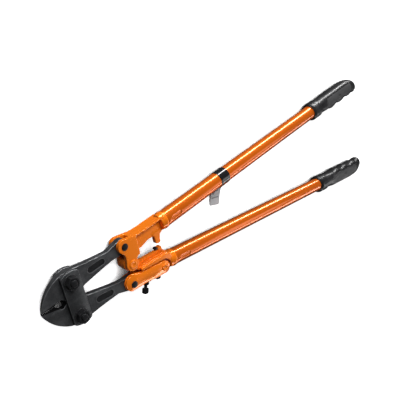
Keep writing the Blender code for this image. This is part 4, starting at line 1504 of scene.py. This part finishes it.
@dataclass
class UpperCasting:
    """The upper handle's casting: fork, beam, stop finger and socket.

    Attributes:
        voxel: the size on which its blocks are fused.
        rounds: how far its edges are softened.
        flange: half width of the beam's top.
        web: half thickness of the beam's web.
    """

    voxel: float = 0.55
    rounds: int = 6
    flange: float = 12.5
    web: float = 3.0

    def fork(self) -> Array:
        """The outline of one tine, from the jaw pin round the centre boss.

        Returns:
            The fork's outline.
        """
        return np.concatenate(
            [
                arc(JAW_PIN, 12.4, 80.0, 215.0, 24),
                np.array([(98.2, 22.6), (99.7, 19.6), (100.2, 16.0), (99.6, 11.0)]),
                arc(CENTRE, 12.0, 155.0, 385.0, 36),
                np.array([(122.6, 8.0), (127.5, 9.8), (129.0, 11.5), (129.5, 44.6)]),
                np.array([(112.0, 46.6)]),
            ]
        )

    def flange_outline(self) -> Array:
        """The beam's top as a strip of one depth."""
        top = np.array([(119.0, 45.4), (130.0, 44.4), (150.0, 45.2), (171.0, 47.4), (192.0, 49.2)])
        return np.concatenate([top - np.array([0.0, 3.6]), top[::-1]])

    def shell(self) -> Shell:
        """Every block of the casting, overlapping.

        Returns:
            The closed surface, in millimetres.
        """
        low, high = SLOT_HALF, FORK_HALF
        core = [(118.6, 13.0), (121.0, 10.6), (126.0, 9.9), (128.6, 11.7), (128.9, 44.2)]
        core += [(119.4, 45.2), (118.7, 38.0)]
        web = [(122.0, 12.0), (141.0, 13.0), (156.5, 18.6, 3.0), (183.0, 19.0), (189.0, 21.0)]
        web += [(189.0, 46.0), (150.0, 43.5), (122.0, 43.0)]
        finger = [(166.5, 24.0), (170.0, 16.0, 3.0), (170.0, 5.6, 1.0), (172.4, 3.2, 1.0)]
        finger += [(181.0, 3.2, 1.5), (181.8, 13.0, 3.0), (184.0, 18.5, 2.0), (188.5, 20.6)]
        finger += [(188.5, 26.0), (170.0, 26.0)]
        blocks = [
            rounded_plate(self.fork(), low, high, 0.5),
            rounded_plate(self.fork(), -high, -low, 0.5),
            rounded_plate(np.array(core), -low - 2.0, low + 2.0, 0.2),
            rounded_plate(softened(web), -self.web, self.web, 0.3),
            rounded_plate(self.flange_outline(), -self.flange, self.flange, 0.8),
            rounded_plate(softened(finger), -4.0, 4.0, 0.5),
            socket(Side.UPPER),
        ]
        return blocks[0].joined(*blocks[1:])

    def build(self, shop: Workshop, finishes: Finishes) -> None:
        """Makes the casting."""
        mesh = shop.fused("upper_casting_fused", self.shell(), self.voxel, self.rounds)
        shop.place(mesh, "upper_handle", ("upper_casting",), Slot.ORANGE, finishes.casting)


def socket(side: Side) -> Shell:
    """The flared shoulder that meets the tube, and the spigot inside it.

    Args:
        side: which handle.

    Returns:
        The closed surface, in millimetres.
    """
    shoulder = TUBE_RADIUS + 1.1
    spigot = TUBE_RADIUS - TUBE_WALL - GAP
    profile = [(0.0, 14.0), (spigot, 14.0), (spigot, 0.05), (shoulder - 0.5, 0.0)]
    profile += [(shoulder, -0.6), (shoulder, -4.5), (shoulder - 1.2, -8.5)]
    profile += [(shoulder - 1.7, -12.2), (0.0, -12.9)]
    return lathe(profile, 96, 0.8).turned(*handle_frame(TUBE_START, side))


@dataclass
class LowerCasting:
    """The lower handle's casting: lobe, ribbed beam, stop post and socket.

    Attributes:
        voxel: the size on which its blocks are fused.
        rounds: how far its edges are softened.
        flange: half width of the flange over the links.
        ledge: half width of the ledge on it.
        ridge: half width of the top rib.
    """

    voxel: float = 0.5
    rounds: int = 4
    flange: float = 13.0
    ledge: float = 8.0
    ridge: float = 2.7

    def web(self) -> Array:
        """The lobe round the centre rivet and the web between the links.

        Returns:
            The web's outline.
        """
        return np.concatenate(
            [
                arc(CENTRE, 13.0, -8.0, 285.0, 44),
                np.array([(122.0, -20.5), (131.0, -27.9), (150.5, -35.0), (153.5, -41.5)]),
                np.array([(156.5, -45.5)]),
                arc(LINK_RIVET, 10.5, 232.0, 350.0, 24),
                np.array([(186.0, -38.0), (186.0, -18.0), (125.5, -15.0)]),
            ]
        )

    def shell(self) -> Shell:
        """Every block of the casting, overlapping.

        Returns:
            The closed surface, in millimetres.
        """
        ridge = [(113.0, -14.0), (116.0, -4.5), (171.0, -7.0), (179.0, -9.5), (189.0, -19.0)]
        ridge += [(189.0, -26.0), (130.0, -19.0)]
        ledge = [(127.5, -19.0), (128.0, -14.0), (179.5, -14.0), (186.0, -18.5), (186.0, -22.0)]
        flange = np.concatenate(
            [
                np.array([(190.0, -19.6), (177.0, -16.2), (123.5, -16.2), (123.5, -21.4)]),
                np.array([(150.0, -22.8), (163.0, -24.2)]),
                arc(LINK_RIVET, 14.8, 98.0, -27.0, 28),
                np.array([(190.0, -47.3)]),
            ]
        )
        post = [(171.3, -11.0), (171.3, -2.8, 0.8), (179.4, -2.8, 1.2), (180.0, -11.0)]
        blocks = [
            rounded_plate(self.web(), -JAW_HALF, JAW_HALF, 0.4),
            rounded_plate(np.array(ridge), -self.ridge, self.ridge, 0.5),
            rounded_plate(np.array(ledge), -self.ledge, self.ledge, 0.5),
            rounded_plate(flange, -self.flange, self.flange, 0.5),
            rounded_plate(softened(post), -4.0, 4.0, 0.4),
            socket(Side.LOWER),
        ]
        return blocks[0].joined(*blocks[1:])

    def build(self, shop: Workshop, finishes: Finishes) -> None:
        """Makes the casting and the rubber bumper in front of its post.

        Args:
            shop: places the finished meshes on their bodies.
            finishes: the tool's materials.
        """
        mesh = shop.fused("lower_casting_fused", self.shell(), self.voxel, self.rounds)
        shop.place(mesh, "lower_handle", ("lower_casting",), Slot.ORANGE, finishes.casting)
        bumper = [(165.7, -6.4), (171.0, -6.7), (171.0, -2.3, 0.5), (165.7, -2.3, 1.6)]
        plate = rounded_plate(softened(bumper), -4.0, 4.0, 0.5)
        mesh = shop.mesh("stop_bumper_moulded", plate)
        shop.place(mesh, "lower_handle", ("stop_bumper",), Slot.RUBBER, finishes.rubber)


@dataclass
class Links:
    """The two link plates and the adjusting gear between them.

    Attributes:
        head: distance across the flats of the adjusting screw's head.
        jam: distance across the flats of the jam nut.
        shank: radius of the screws.
    """

    head: float = 10.0
    jam: float = 10.0
    shank: float = 3.0

    def outline(self, heel: Array) -> Array:
        """A link plate: a heel, a slight waist and a round end at the rivet.

        Args:
            heel: the arc round the jaw pin.

        Returns:
            The plate's outline.
        """
        return np.concatenate(
            [
                heel,
                np.array([(108.0, -45.4), (125.0, -45.6), (140.0, -47.6), (155.0, -49.9)]),
                arc(LINK_RIVET, 11.4, 248.0, 445.0, 40),
                np.array([(160.0, -27.0), (150.0, -25.6), (122.0, -23.0)]),
            ]
        )

    def screw_shell(self) -> Shell:
        """The adjusting screw: threaded shank, hexagon head and its domed top.

        Returns:
            The closed surface, in millimetres.
        """
        low, high = 32.0, 40.5
        ring = hex_profile(self.head, low, high, True, True)
        ring = np.concatenate([[[0.0, high]], ring, [[0.0, low]]])
        rows = hex_rows(self.head, ring)[::-1]
        edge = np.zeros(rows.shape[:2])
        edge[1:8] = edge[-8:-1] = 0.6
        cap = [(0.0, high + 1.9), (2.4, high + 1.6), (4.2, high + 0.1), (4.2, 36.0), (0.0, 36.0)]
        dome = lathe(cap, 48)
        thread = threaded(self.shank, 1.0, 0.45, 0.7, 33.0)
        return grid_shell(rows, edge).joined(dome, thread)

    def jam_shell(self) -> Shell:
        """The jam nut.

        Returns:
            The closed surface, in millimetres.
        """
        low, high = 19.3, 25.3
        outer = hex_profile(self.jam, low, high, True, True)
        inner = np.array([(self.shank + 0.15, low), (self.shank + 0.15, high)])
        rows = hex_rows(self.jam, np.concatenate([outer, inner]))[::-1]
        edge = np.zeros(rows.shape[:2])
        edge[2:9] = edge[-7:] = 0.6
        return torus_shell(rows, edge)

    def lock_shell(self) -> Shell:
        """The lock screw: a round head with a hexagon recess.

        Returns:
            The closed surface, in millimetres.
        """
        head = [(0.0, 23.4), (2.2, 23.4), (2.2, 25.9), (4.2, 26.0), (5.0, 25.2), (5.0, 20.0)]
        body = lathe(head + [(2.9, 20.0), (2.9, 4.0), (0.0, 4.0)], 64, 0.5)
        down = np.stack([np.array([1.0, 0, 0]), np.array([0, 0, 1.0]), np.array([0, -1.0, 0])], 1)
        return body.joined(threaded(self.shank, 1.0, 0.45, 3.0, 19.9)).turned(
            down, np.array([160.0, LINK_RIVET[1] + 6.0, 0.0])
        )

    def block_shell(self) -> Shell:
        """The adjusting block, rounded at its lower corners."""
        outline = softened([(-8.0, 3.5), (8.0, 3.5), (8.0, 19.0, 3.0), (-8.0, 19.0, 3.0)])
        plate = rounded_plate(outline, -JAW_HALF, JAW_HALF, 0.7)
        matrix, shift = screw_frame()
        lay = np.stack([matrix[:, 0], matrix[:, 2], -matrix[:, 1]], 1)
        return plate.turned(lay, shift)

    def build(self, shop: Workshop, finishes: Finishes) -> None:
        """Makes the links and the adjusting gear.

        Args:
            shop: places the finished meshes on their bodies.
            finishes: the tool's materials.
        """
        broad = arc((101.5, -32.0), 14.0, 80.0, 250.0, 40)
        small = arc((JAW_PIN[0], -JAW_PIN[1]), 10.6, 80.0, 250.0, 40)
        for label, face, heel in (("front", 1, broad), ("back", -1, small)):
            low, high = sorted((face * LINK_INNER, face * LINK_OUTER))
            plate = rounded_plate(self.outline(heel), low, high, 0.9)
            mesh = shop.mesh(f"link_{label}_plate", plate)
            shop.place(mesh, "link_arm", (f"link_{label}",), Slot.ORANGE, finishes.casting)
        hung = screw_frame()
        rows = (
            ("adjusting_block", self.block_shell(), "link_arm"),
            ("adjusting_screw", self.screw_shell().turned(*hung), "adjusting_screw"),
            ("jam_nut", self.jam_shell().turned(*hung), "jam_nut"),
            ("lock_screw", self.lock_shell(), "lower_handle"),
        )
        for node, shell, body in rows:
            mesh = shop.sharp(shop.mesh(node + "_turned", shell), 35.0)
            shop.place(mesh, body, (node,), Slot.BLACK, finishes.oxide)


@dataclass
class Handle:
    """One tube and its grip.

    Attributes:
        side: which handle.
        crimp_at: distance of the crimp's middle from the seam.
        crimp_depth: how far the tube is pressed in.
        bore: depth of the grip's bore.
        tail: length of the grip's rounded end.
        hook: radius of the hook at its end.
        hook_offset: distance of the hook's centre from the axis.
    """

    side: Side
    crimp_at: float = 21.0
    crimp_depth: float = 1.1
    bore: float = 150.0
    tail: float = 58.0
    hook: float = 13.0
    hook_offset: float = 9.5

    def tube_shell(self) -> Shell:
        """A cylinder with softened ends and an oval pressed into it on both faces.

        The radius is R less the depth times a smooth step of the distance inside the oval.

        Returns:
            The closed surface, in millimetres.
        """
        length = (GRIP_START - TUBE_START) / np.cos(SLOPE_ANGLE) + self.bore - GAP
        ends = np.array([0.0, 0.12, 0.35, 0.7])
        fine = np.linspace(5.0, 38.0, 100)
        rest = np.linspace(41.0, length - 1.5, 150)
        along = np.concatenate([GAP + ends, fine, rest, length - ends[::-1]])
        inset = np.zeros(len(along))
        inset[:4] = inset[-4:][::-1] = [0.7, 0.33, 0.1, 0.0]
        inset[-4:] = [0.0, 0.1, 0.33, 0.7]
        turn = np.linspace(0, 2 * np.pi, 144, endpoint=False)
        reach = np.clip(np.abs(along[:, None] - self.crimp_at) - 8.5, 0, None)
        arch = TUBE_RADIUS * (np.abs(np.abs((turn + np.pi) % (2 * np.pi) - np.pi) - np.pi / 2))
        inside = 3.0 - np.hypot(reach, arch[None])
        dent = self.crimp_depth * smooth_step(inside, -0.9, 1.5)
        lip = 0.10 * np.exp(-(((inside + 1.6) / 0.7) ** 2))
        radius = TUBE_RADIUS - inset[:, None] - dent + lip
        rows = np.stack(
            [
                radius * np.cos(turn),
                radius * np.sin(turn),
                np.broadcast_to(along[:, None], radius.shape),
            ],
            -1,
        )
        bore = TUBE_RADIUS - TUBE_WALL
        inner = lathe_rows(np.array([(bore, along[-1]), (bore, along[0])]), 144)
        rim = np.exp(-(((inside + 0.3) / 0.5) ** 2)) * 0.8
        rim[:4] = 0.9
        wear = np.concatenate([rim, np.zeros((2, 144))])
        whole = torus_shell(np.concatenate([rows, inner]), wear)
        return whole.turned(*handle_frame(TUBE_START, self.side))

    def grip_sizes(self, along: Array) -> tuple[Array, Array, Array, Array]:
        """Outer reach, inner reach, half thickness and squareness at distances along the grip.

        The outer side falls away on a superellipse, 1 - sqrt(1 - t^2.2), over the tail. The
        inner side carries finger bumps, (1 - cos) / 2 of the distance, and ends in a hook of
        sqrt(r^2 - d^2). The collar in front is round and chamfered.

        Args:
            along: distances along the grip.

        Returns:
            Outer reach, inner reach, half thickness and power.
        """
        neck = TUBE_RADIUS + 2.3
        swell = smooth_step(along, 34.0, 72.0)
        outer = neck + 1.5 * swell
        wave = 0.5 - 0.5 * np.cos(2 * np.pi * (along - 62.0) / 38.5)
        inner = neck + 0.5 * swell + 3.6 * wave**1.15 * smooth_step(along, 60.0, 68.0)
        share = np.clip((along - GRIP_LENGTH + self.tail) / self.tail, 0, 1)
        outer = outer - (outer + self.hook_offset) * (1 - np.sqrt(1 - share**2.2))
        thick = neck - 6.0 * share**2.6
        past = (along - GRIP_LENGTH + self.hook) / self.hook
        arch = np.sqrt(np.clip(1 - past**2, 0, 1))
        inner = inner * (1 - smooth_step(past, -0.8, 0.0))
        hooked = np.maximum(inner, self.hook_offset + self.hook * arch)
        inner = np.where(past > -1.0, hooked, inner)
        thick = thick * np.where(past > 0.0, arch**0.8, 1.0)
        power = 2.0 + 0.6 * smooth_step(along, 32.0, 62.0) * (1 - smooth_step(share, 0.5, 1.0))
        collar = 20.0 - 3.8 * (1 - smooth_step(along, -1.0, 4.4))
        collar = collar - 0.30 * np.exp(-(((along - 15.0) / 0.9) ** 2))
        body = smooth_step(along, 26.2, 30.0)
        sizes = [collar + (value - collar) * body for value in (outer, inner, thick)]
        return sizes[0], sizes[1], sizes[2], power

    def grip_shell(self) -> Shell:
        """Superellipse rings along the handle, closed by a small cap at the end.

        A ring's point is centre + half * |cos a|^(2/p) across and thick * |sin a|^(2/p) up,
        each with its sign. A panel is sunk into each face by the smooth step of the distance
        to its rounded border, with fine ribs round the end of the grip.

        Returns:
            The closed surface, in millimetres.
        """
        last = GRIP_LENGTH - 0.55
        along = np.concatenate(
            [np.linspace(0.0, 4.8, 13), np.arange(5.4, 184.0, 0.7)]
            + [184.0 + (last - 184.0) * np.sin(np.linspace(0, np.pi / 2, 48))]
        )
        outer, inner, thick, power = (value[:, None] for value in self.grip_sizes(along))
        turn = np.linspace(0, 2 * np.pi, 176, endpoint=False)[None]
        cos, sin = np.cos(turn), np.sin(turn)
        across = np.sign(cos) * np.abs(cos) ** (2 / power)
        up = np.sign(sin) * np.abs(sin) ** (2 / power)
        x = (outer - inner) / 2 + (outer + inner) / 2 * across
        y = thick * up
        z = np.broadcast_to(along[:, None], x.shape)
        side_on = np.abs(up)
        corner = 0.055 * np.abs(x + 1.5) ** 1.9
        border = np.minimum(
            np.minimum(z - 54.0 - corner * 0.6, 168.0 - z - corner),
            np.minimum(outer - 7.2 - x, x + TUBE_RADIUS - 4.2),
        )
        panel = smooth_step(border, 0.0, 1.6) * smooth_step(side_on, 0.50, 0.75)
        groove = np.exp(-(((border - 0.2) / 0.9) ** 2)) * smooth_step(side_on, 0.45, 0.70)
        hole = smooth_step(2.4 - np.hypot(z - 112.0, x + 1.0), -0.4, 0.6) * (side_on > 0.5)
        ribs = smooth_step(z, 172.0, 175.0) * (1 - smooth_step(z, 194.0, 198.0))
        ribs = ribs * (0.5 - 0.5 * np.cos(2 * np.pi * z / 3.6)) * smooth_step(side_on, 0.1, 0.4)
        seam = np.exp(-((y / 0.35) ** 2)) * smooth_step(z, 30.0, 34.0) * 0.12
        y = y - np.sign(up) * (0.45 * panel + 0.75 * groove + 1.9 * hole * panel + 0.5 * ribs)
        x = x - np.sign(across) * seam
        rows = np.stack([x, y, z], -1)
        wear = np.where(border < 0, np.exp(-(((border + 1.3) / 0.8) ** 2)), 0.0)
        wear = wear * smooth_step(side_on, 0.5, 0.8) * 0.8 - panel - hole
        wear = np.clip(wear, -1, 1)
        middle = rows[-1:].mean(1, keepdims=True)
        end = middle + (rows[-1:] - middle) * 0.5 + np.array([0.0, 0.0, 0.15])
        rows = np.concatenate([rows, end])
        wear = np.concatenate([wear, wear[-1:]])
        bore = TUBE_RADIUS + 0.35
        floor = lathe_rows(np.array([(bore, self.bore), (bore, 0.0)]), 176)
        rows = np.concatenate([floor, rows])
        wear = np.concatenate([np.zeros((2, 176)), wear])
        return grid_shell(rows, wear).turned(*handle_frame(GRIP_START, self.side))

    def build(self, shop: Workshop, finishes: Finishes) -> None:
        """Makes the tube and the grip.

        Args:
            shop: places the finished meshes on their bodies.
            finishes: the tool's materials.
        """
        label = self.side.name.lower()
        body = label + "_handle"
        mesh = shop.sharp(shop.mesh(label + "_tube_drawn", self.tube_shell()), 50.0)
        shop.place(mesh, body, (label + "_tube",), Slot.ORANGE, finishes.tube)
        mesh = shop.sharp(shop.mesh(label + "_grip_moulded", self.grip_shell()), 55.0)
        shop.place(mesh, body, (label + "_grip",), Slot.RUBBER, finishes.rubber)


@dataclass
class Label:
    """The band round the upper tube and the tag that hangs from it.

    Attributes:
        place: x of the band's middle.
        length: the band's length.
        width: the tag's width.
        thickness: the tag's thickness.
    """

    place: float = 352.0
    length: float = 24.0
    width: float = 26.0
    thickness: float = 0.5

    def band_shell(self) -> Shell:
        """Tape with a soft lapped end: the radius grows by a layer over a short turn.

        Returns:
            The closed surface, in millimetres.
        """
        turn = np.linspace(0, 2 * np.pi, 180, endpoint=False)
        half = self.length / 2
        along = np.array([-half, -half + 0.05, -half + 0.3, half - 0.3, half - 0.05, half])
        along = np.concatenate([along[:3], np.linspace(-half + 1, half - 1, 24), along[3:]])
        outer = np.full((len(along), len(turn)), TUBE_RADIUS + 1.02)
        outer[0] = outer[-1] = TUBE_RADIUS + 0.55
        outer[1] = outer[-2] = TUBE_RADIUS + 0.85
        lap = smooth_step(turn, 2.2, 2.23) * (1 - smooth_step(turn, 3.6, 3.9))
        waves = np.sin(3 * turn[None] + along[:, None] * 0.25) * 0.03
        outer = outer + waves * (1 - (np.abs(along[:, None]) > half - 0.4)) - 0.12 * (1 - lap)
        inner = np.full((2, len(turn)), TUBE_RADIUS + 0.32)
        radius = np.concatenate([outer, inner])
        level = np.concatenate([along, [half, -half]])
        rows = np.stack(
            [
                radius * np.cos(turn),
                radius * np.sin(turn),
                np.broadcast_to(level[:, None], radius.shape),
            ],
            -1,
        )
        return torus_shell(rows).turned(*handle_frame(self.place, Side.UPPER))

    def tag_shell(self) -> Shell:
        """A strip carried along a bent line and rounded at its free corners.

        The line is a smooth curve through five points. Across it the strip is flat, with a
        slight curl that grows as the square of the distance from its middle.

        Returns:
            The closed surface, in millimetres.
        """
        x, y = self.place, OFFSET + SLOPE * self.place
        reach = TUBE_RADIUS + 2 * GAP + 0.8 + self.thickness
        key = np.array(
            [
                (x, y - reach, -2.0),
                (x - 0.6, y - reach - 1.2, -7.0),
                (x - 2.5, y - reach - 6.5, -12.0),
                (x - 5.5, y - reach - 18.0, -16.0),
                (x - 10.5, y - reach - 39.0, -FLOOR_DROP + 1.4),
            ]
        )
        turn = np.radians([6.2, 6.2, 0.0, -9.0, -16.0])
        knots = np.linspace(0, 1, 5)
        share = np.linspace(0, 1, 60)
        blend = np.stack([np.interp(share, knots, key[:, k]) for k in range(3)], -1)
        for _ in range(24):
            blend[1:-1] = 0.5 * blend[1:-1] + 0.25 * (blend[:-2] + blend[2:])
        angle = np.interp(share, knots, turn)
        side = np.stack([np.cos(angle), np.sin(angle), 0 * angle], -1)
        across = np.linspace(-0.5, 0.5, 41)
        near_end = np.clip((share - 0.94) / 0.06, 0, 1)
        trim = 1 - 0.10 * (1 - np.sqrt(np.clip(1 - near_end**2, 0, 1)))
        step = across[None] * self.width * trim[:, None]
        curl = (across[None] ** 2 * 4) * (0.5 * share[:, None])
        middle = blend[:, None] + side[:, None] * step[..., None]
        middle[..., 2] += curl
        tangent = np.gradient(blend, axis=0)
        normal = np.cross(side, tangent)
        normal /= np.linalg.norm(normal, axis=1, keepdims=True)
        offset = normal[:, None] * self.thickness / 2
        loops = np.concatenate([middle + offset, (middle - offset)[:, ::-1]], 1)
        ink = self.blank_panels(share[:, None], across[None])
        return grid_shell(loops, np.concatenate([ink, ink[:, ::-1]], 1))

    @staticmethod
    def blank_panels(share: Array, across: Array) -> Array:
        """Plain grey patches: a block near the middle and a thin line near the end."""
        block = (share > 0.50) & (share < 0.72) & (across > -0.42) & (across < -0.12)
        bar = (share > 0.80) & (share < 0.84) & (np.abs(across) < 0.40)
        return np.where(block | bar, 1.0, 0.0)

    def build(self, shop: Workshop, finishes: Finishes) -> None:
        """Makes the band and the tag."""
        mesh = shop.sharp(shop.mesh("tag_band_wrapped", self.band_shell()), 60.0)
        shop.place(mesh, "upper_handle", ("tag_band",), Slot.BAND, finishes.tape)
        mesh = shop.sharp(shop.mesh("hang_tag_bent", self.tag_shell()), 40.0)
        shop.place(mesh, "upper_handle", ("hang_tag",), Slot.CARD, finishes.card)


# ---------------------------------------------------------------- studio


@dataclass
class Studio:
    """Floor, soft lights and the camera.

    Attributes:
        eye: the camera's place in the tool frame.
        right: the picture's right.
        down: the picture's down.
        focal: focal length for a 36 mm sensor.
    """

    eye: tuple = (-270.1, 381.3, 630.8)
    right: tuple = (0.6835, -0.1802, 0.7074)
    down: tuple = (-0.3938, -0.9069, 0.1495)
    focal: float = 44.76

    def camera(self, shop: Workshop) -> None:
        """The camera, turned so that its X is the picture's right and its Y is up.

        Args:
            shop: holds the tool frame's origin.
        """
        lens = bpy.data.cameras.new("camera")
        lens.lens = self.focal
        lens.sensor_width = 36.0
        lens.clip_start, lens.clip_end = 0.01, 20.0
        camera = bpy.data.objects.new("camera", lens)
        x = Vector(self.right).normalized()
        y = -Vector(self.down)
        y = (y - x * y.dot(x)).normalized()
        turn = Matrix((x, y, x.cross(y))).transposed().to_4x4()
        place = Vector(np.array(self.eye) * MM + shop.head)
        camera.matrix_world = Matrix.Translation(place) @ turn
        bpy.context.scene.collection.objects.link(camera)
        bpy.context.scene.camera = camera

    def lamp(
        self, name: str, place: tuple, target: tuple, size: tuple, power: float, mirrored: bool = True
    ) -> None:
        """One soft box, turned to face a point, which glossy faces mirror or not.

        Args:
            name: the lamp's name.
            place: where it stands.
            target: the point it faces.
            size: width and height.
            power: watts.
            mirrored: whether glossy faces show it.
        """
        light = bpy.data.lights.new(name, "AREA")
        light.shape = "RECTANGLE"
        light.size, light.size_y = size
        light.energy = power
        box = bpy.data.objects.new(name, light)
        box.location = place
        box.visible_glossy = mirrored
        away = Vector(place) - Vector(target)
        box.rotation_mode = "QUATERNION"
        box.rotation_quaternion = away.to_track_quat("Z", "Y")
        bpy.context.scene.collection.objects.link(box)

    def build(self, shop: Workshop, bottom: float) -> None:
        """Makes the floor at the object's lowest level, the lights and the camera.

        Args:
            shop: holds the tool frame's origin.
            bottom: the tool's lowest level.
        """
        self.camera(shop)
        size = 6.0
        corners = np.array([(-size, -size), (size, -size), (size, size), (-size, size)])
        floor = bpy.data.meshes.new("floor")
        points = np.concatenate([corners, np.full((4, 1), bottom)], 1)
        floor.from_pydata(points.tolist(), [], [(0, 1, 2, 3)])
        floor.materials.append(PaleFloor().build())
        sheet = bpy.data.objects.new("floor", floor)
        sheet.visible_diffuse = False
        sheet.visible_glossy = False
        bpy.context.scene.collection.objects.link(sheet)
        sheet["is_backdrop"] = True
        middle = (0.05, 0.0, 0.0)
        self.lamp("key_strip", (0.55, 1.35, 0.20), middle, (2.8, 0.20), 40.0)
        self.lamp("top_box", (-0.10, 1.00, 1.05), middle, (1.3, 0.5), 27.0, False)
        self.lamp("sheen_box", (1.1, -0.55, 1.25), middle, (1.1, 0.4), 2.0)
        self.lamp("low_strip", (0.55, -1.15, 0.62), middle, (2.4, 0.16), 8.0)
        world = bpy.data.worlds.new("studio")
        world.use_nodes = True
        world.node_tree.nodes["Background"].inputs["Color"].default_value = (0.95, 0.97, 1.0, 1.0)
        world.node_tree.nodes["Background"].inputs["Strength"].default_value = 0.05
        bpy.context.scene.world = world
        bpy.context.scene.view_settings.view_transform = "Standard"


def main() -> None:
    """Builds every sub-assembly on the frame."""
    logging.basicConfig(level=logging.INFO, format="%(name)s: %(message)s", stream=sys.stdout)
    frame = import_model()
    cad_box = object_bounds()
    shop = Workshop(frame)
    finishes = Finishes()
    for side in Side:
        Jaw(side).build(shop, finishes)
        Handle(side).build(shop, finishes)
    Straps().build(shop, finishes)
    Pins().build(shop, finishes)
    UpperCasting().build(shop, finishes)
    LowerCasting().build(shop, finishes)
    Links().build(shop, finishes)
    Label().build(shop, finishes)
    Studio().build(shop, cad_box[0].z)
    bpy.context.view_layer.update()
    boxes = {"cad": cad_box, "visual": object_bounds()}
    for name, (low, high) in boxes.items():
        LOG.info("%s box: %s to %s", name, [round(v, 4) for v in low], [round(v, 4) for v in high])


if __name__ == "__main__":
    main()
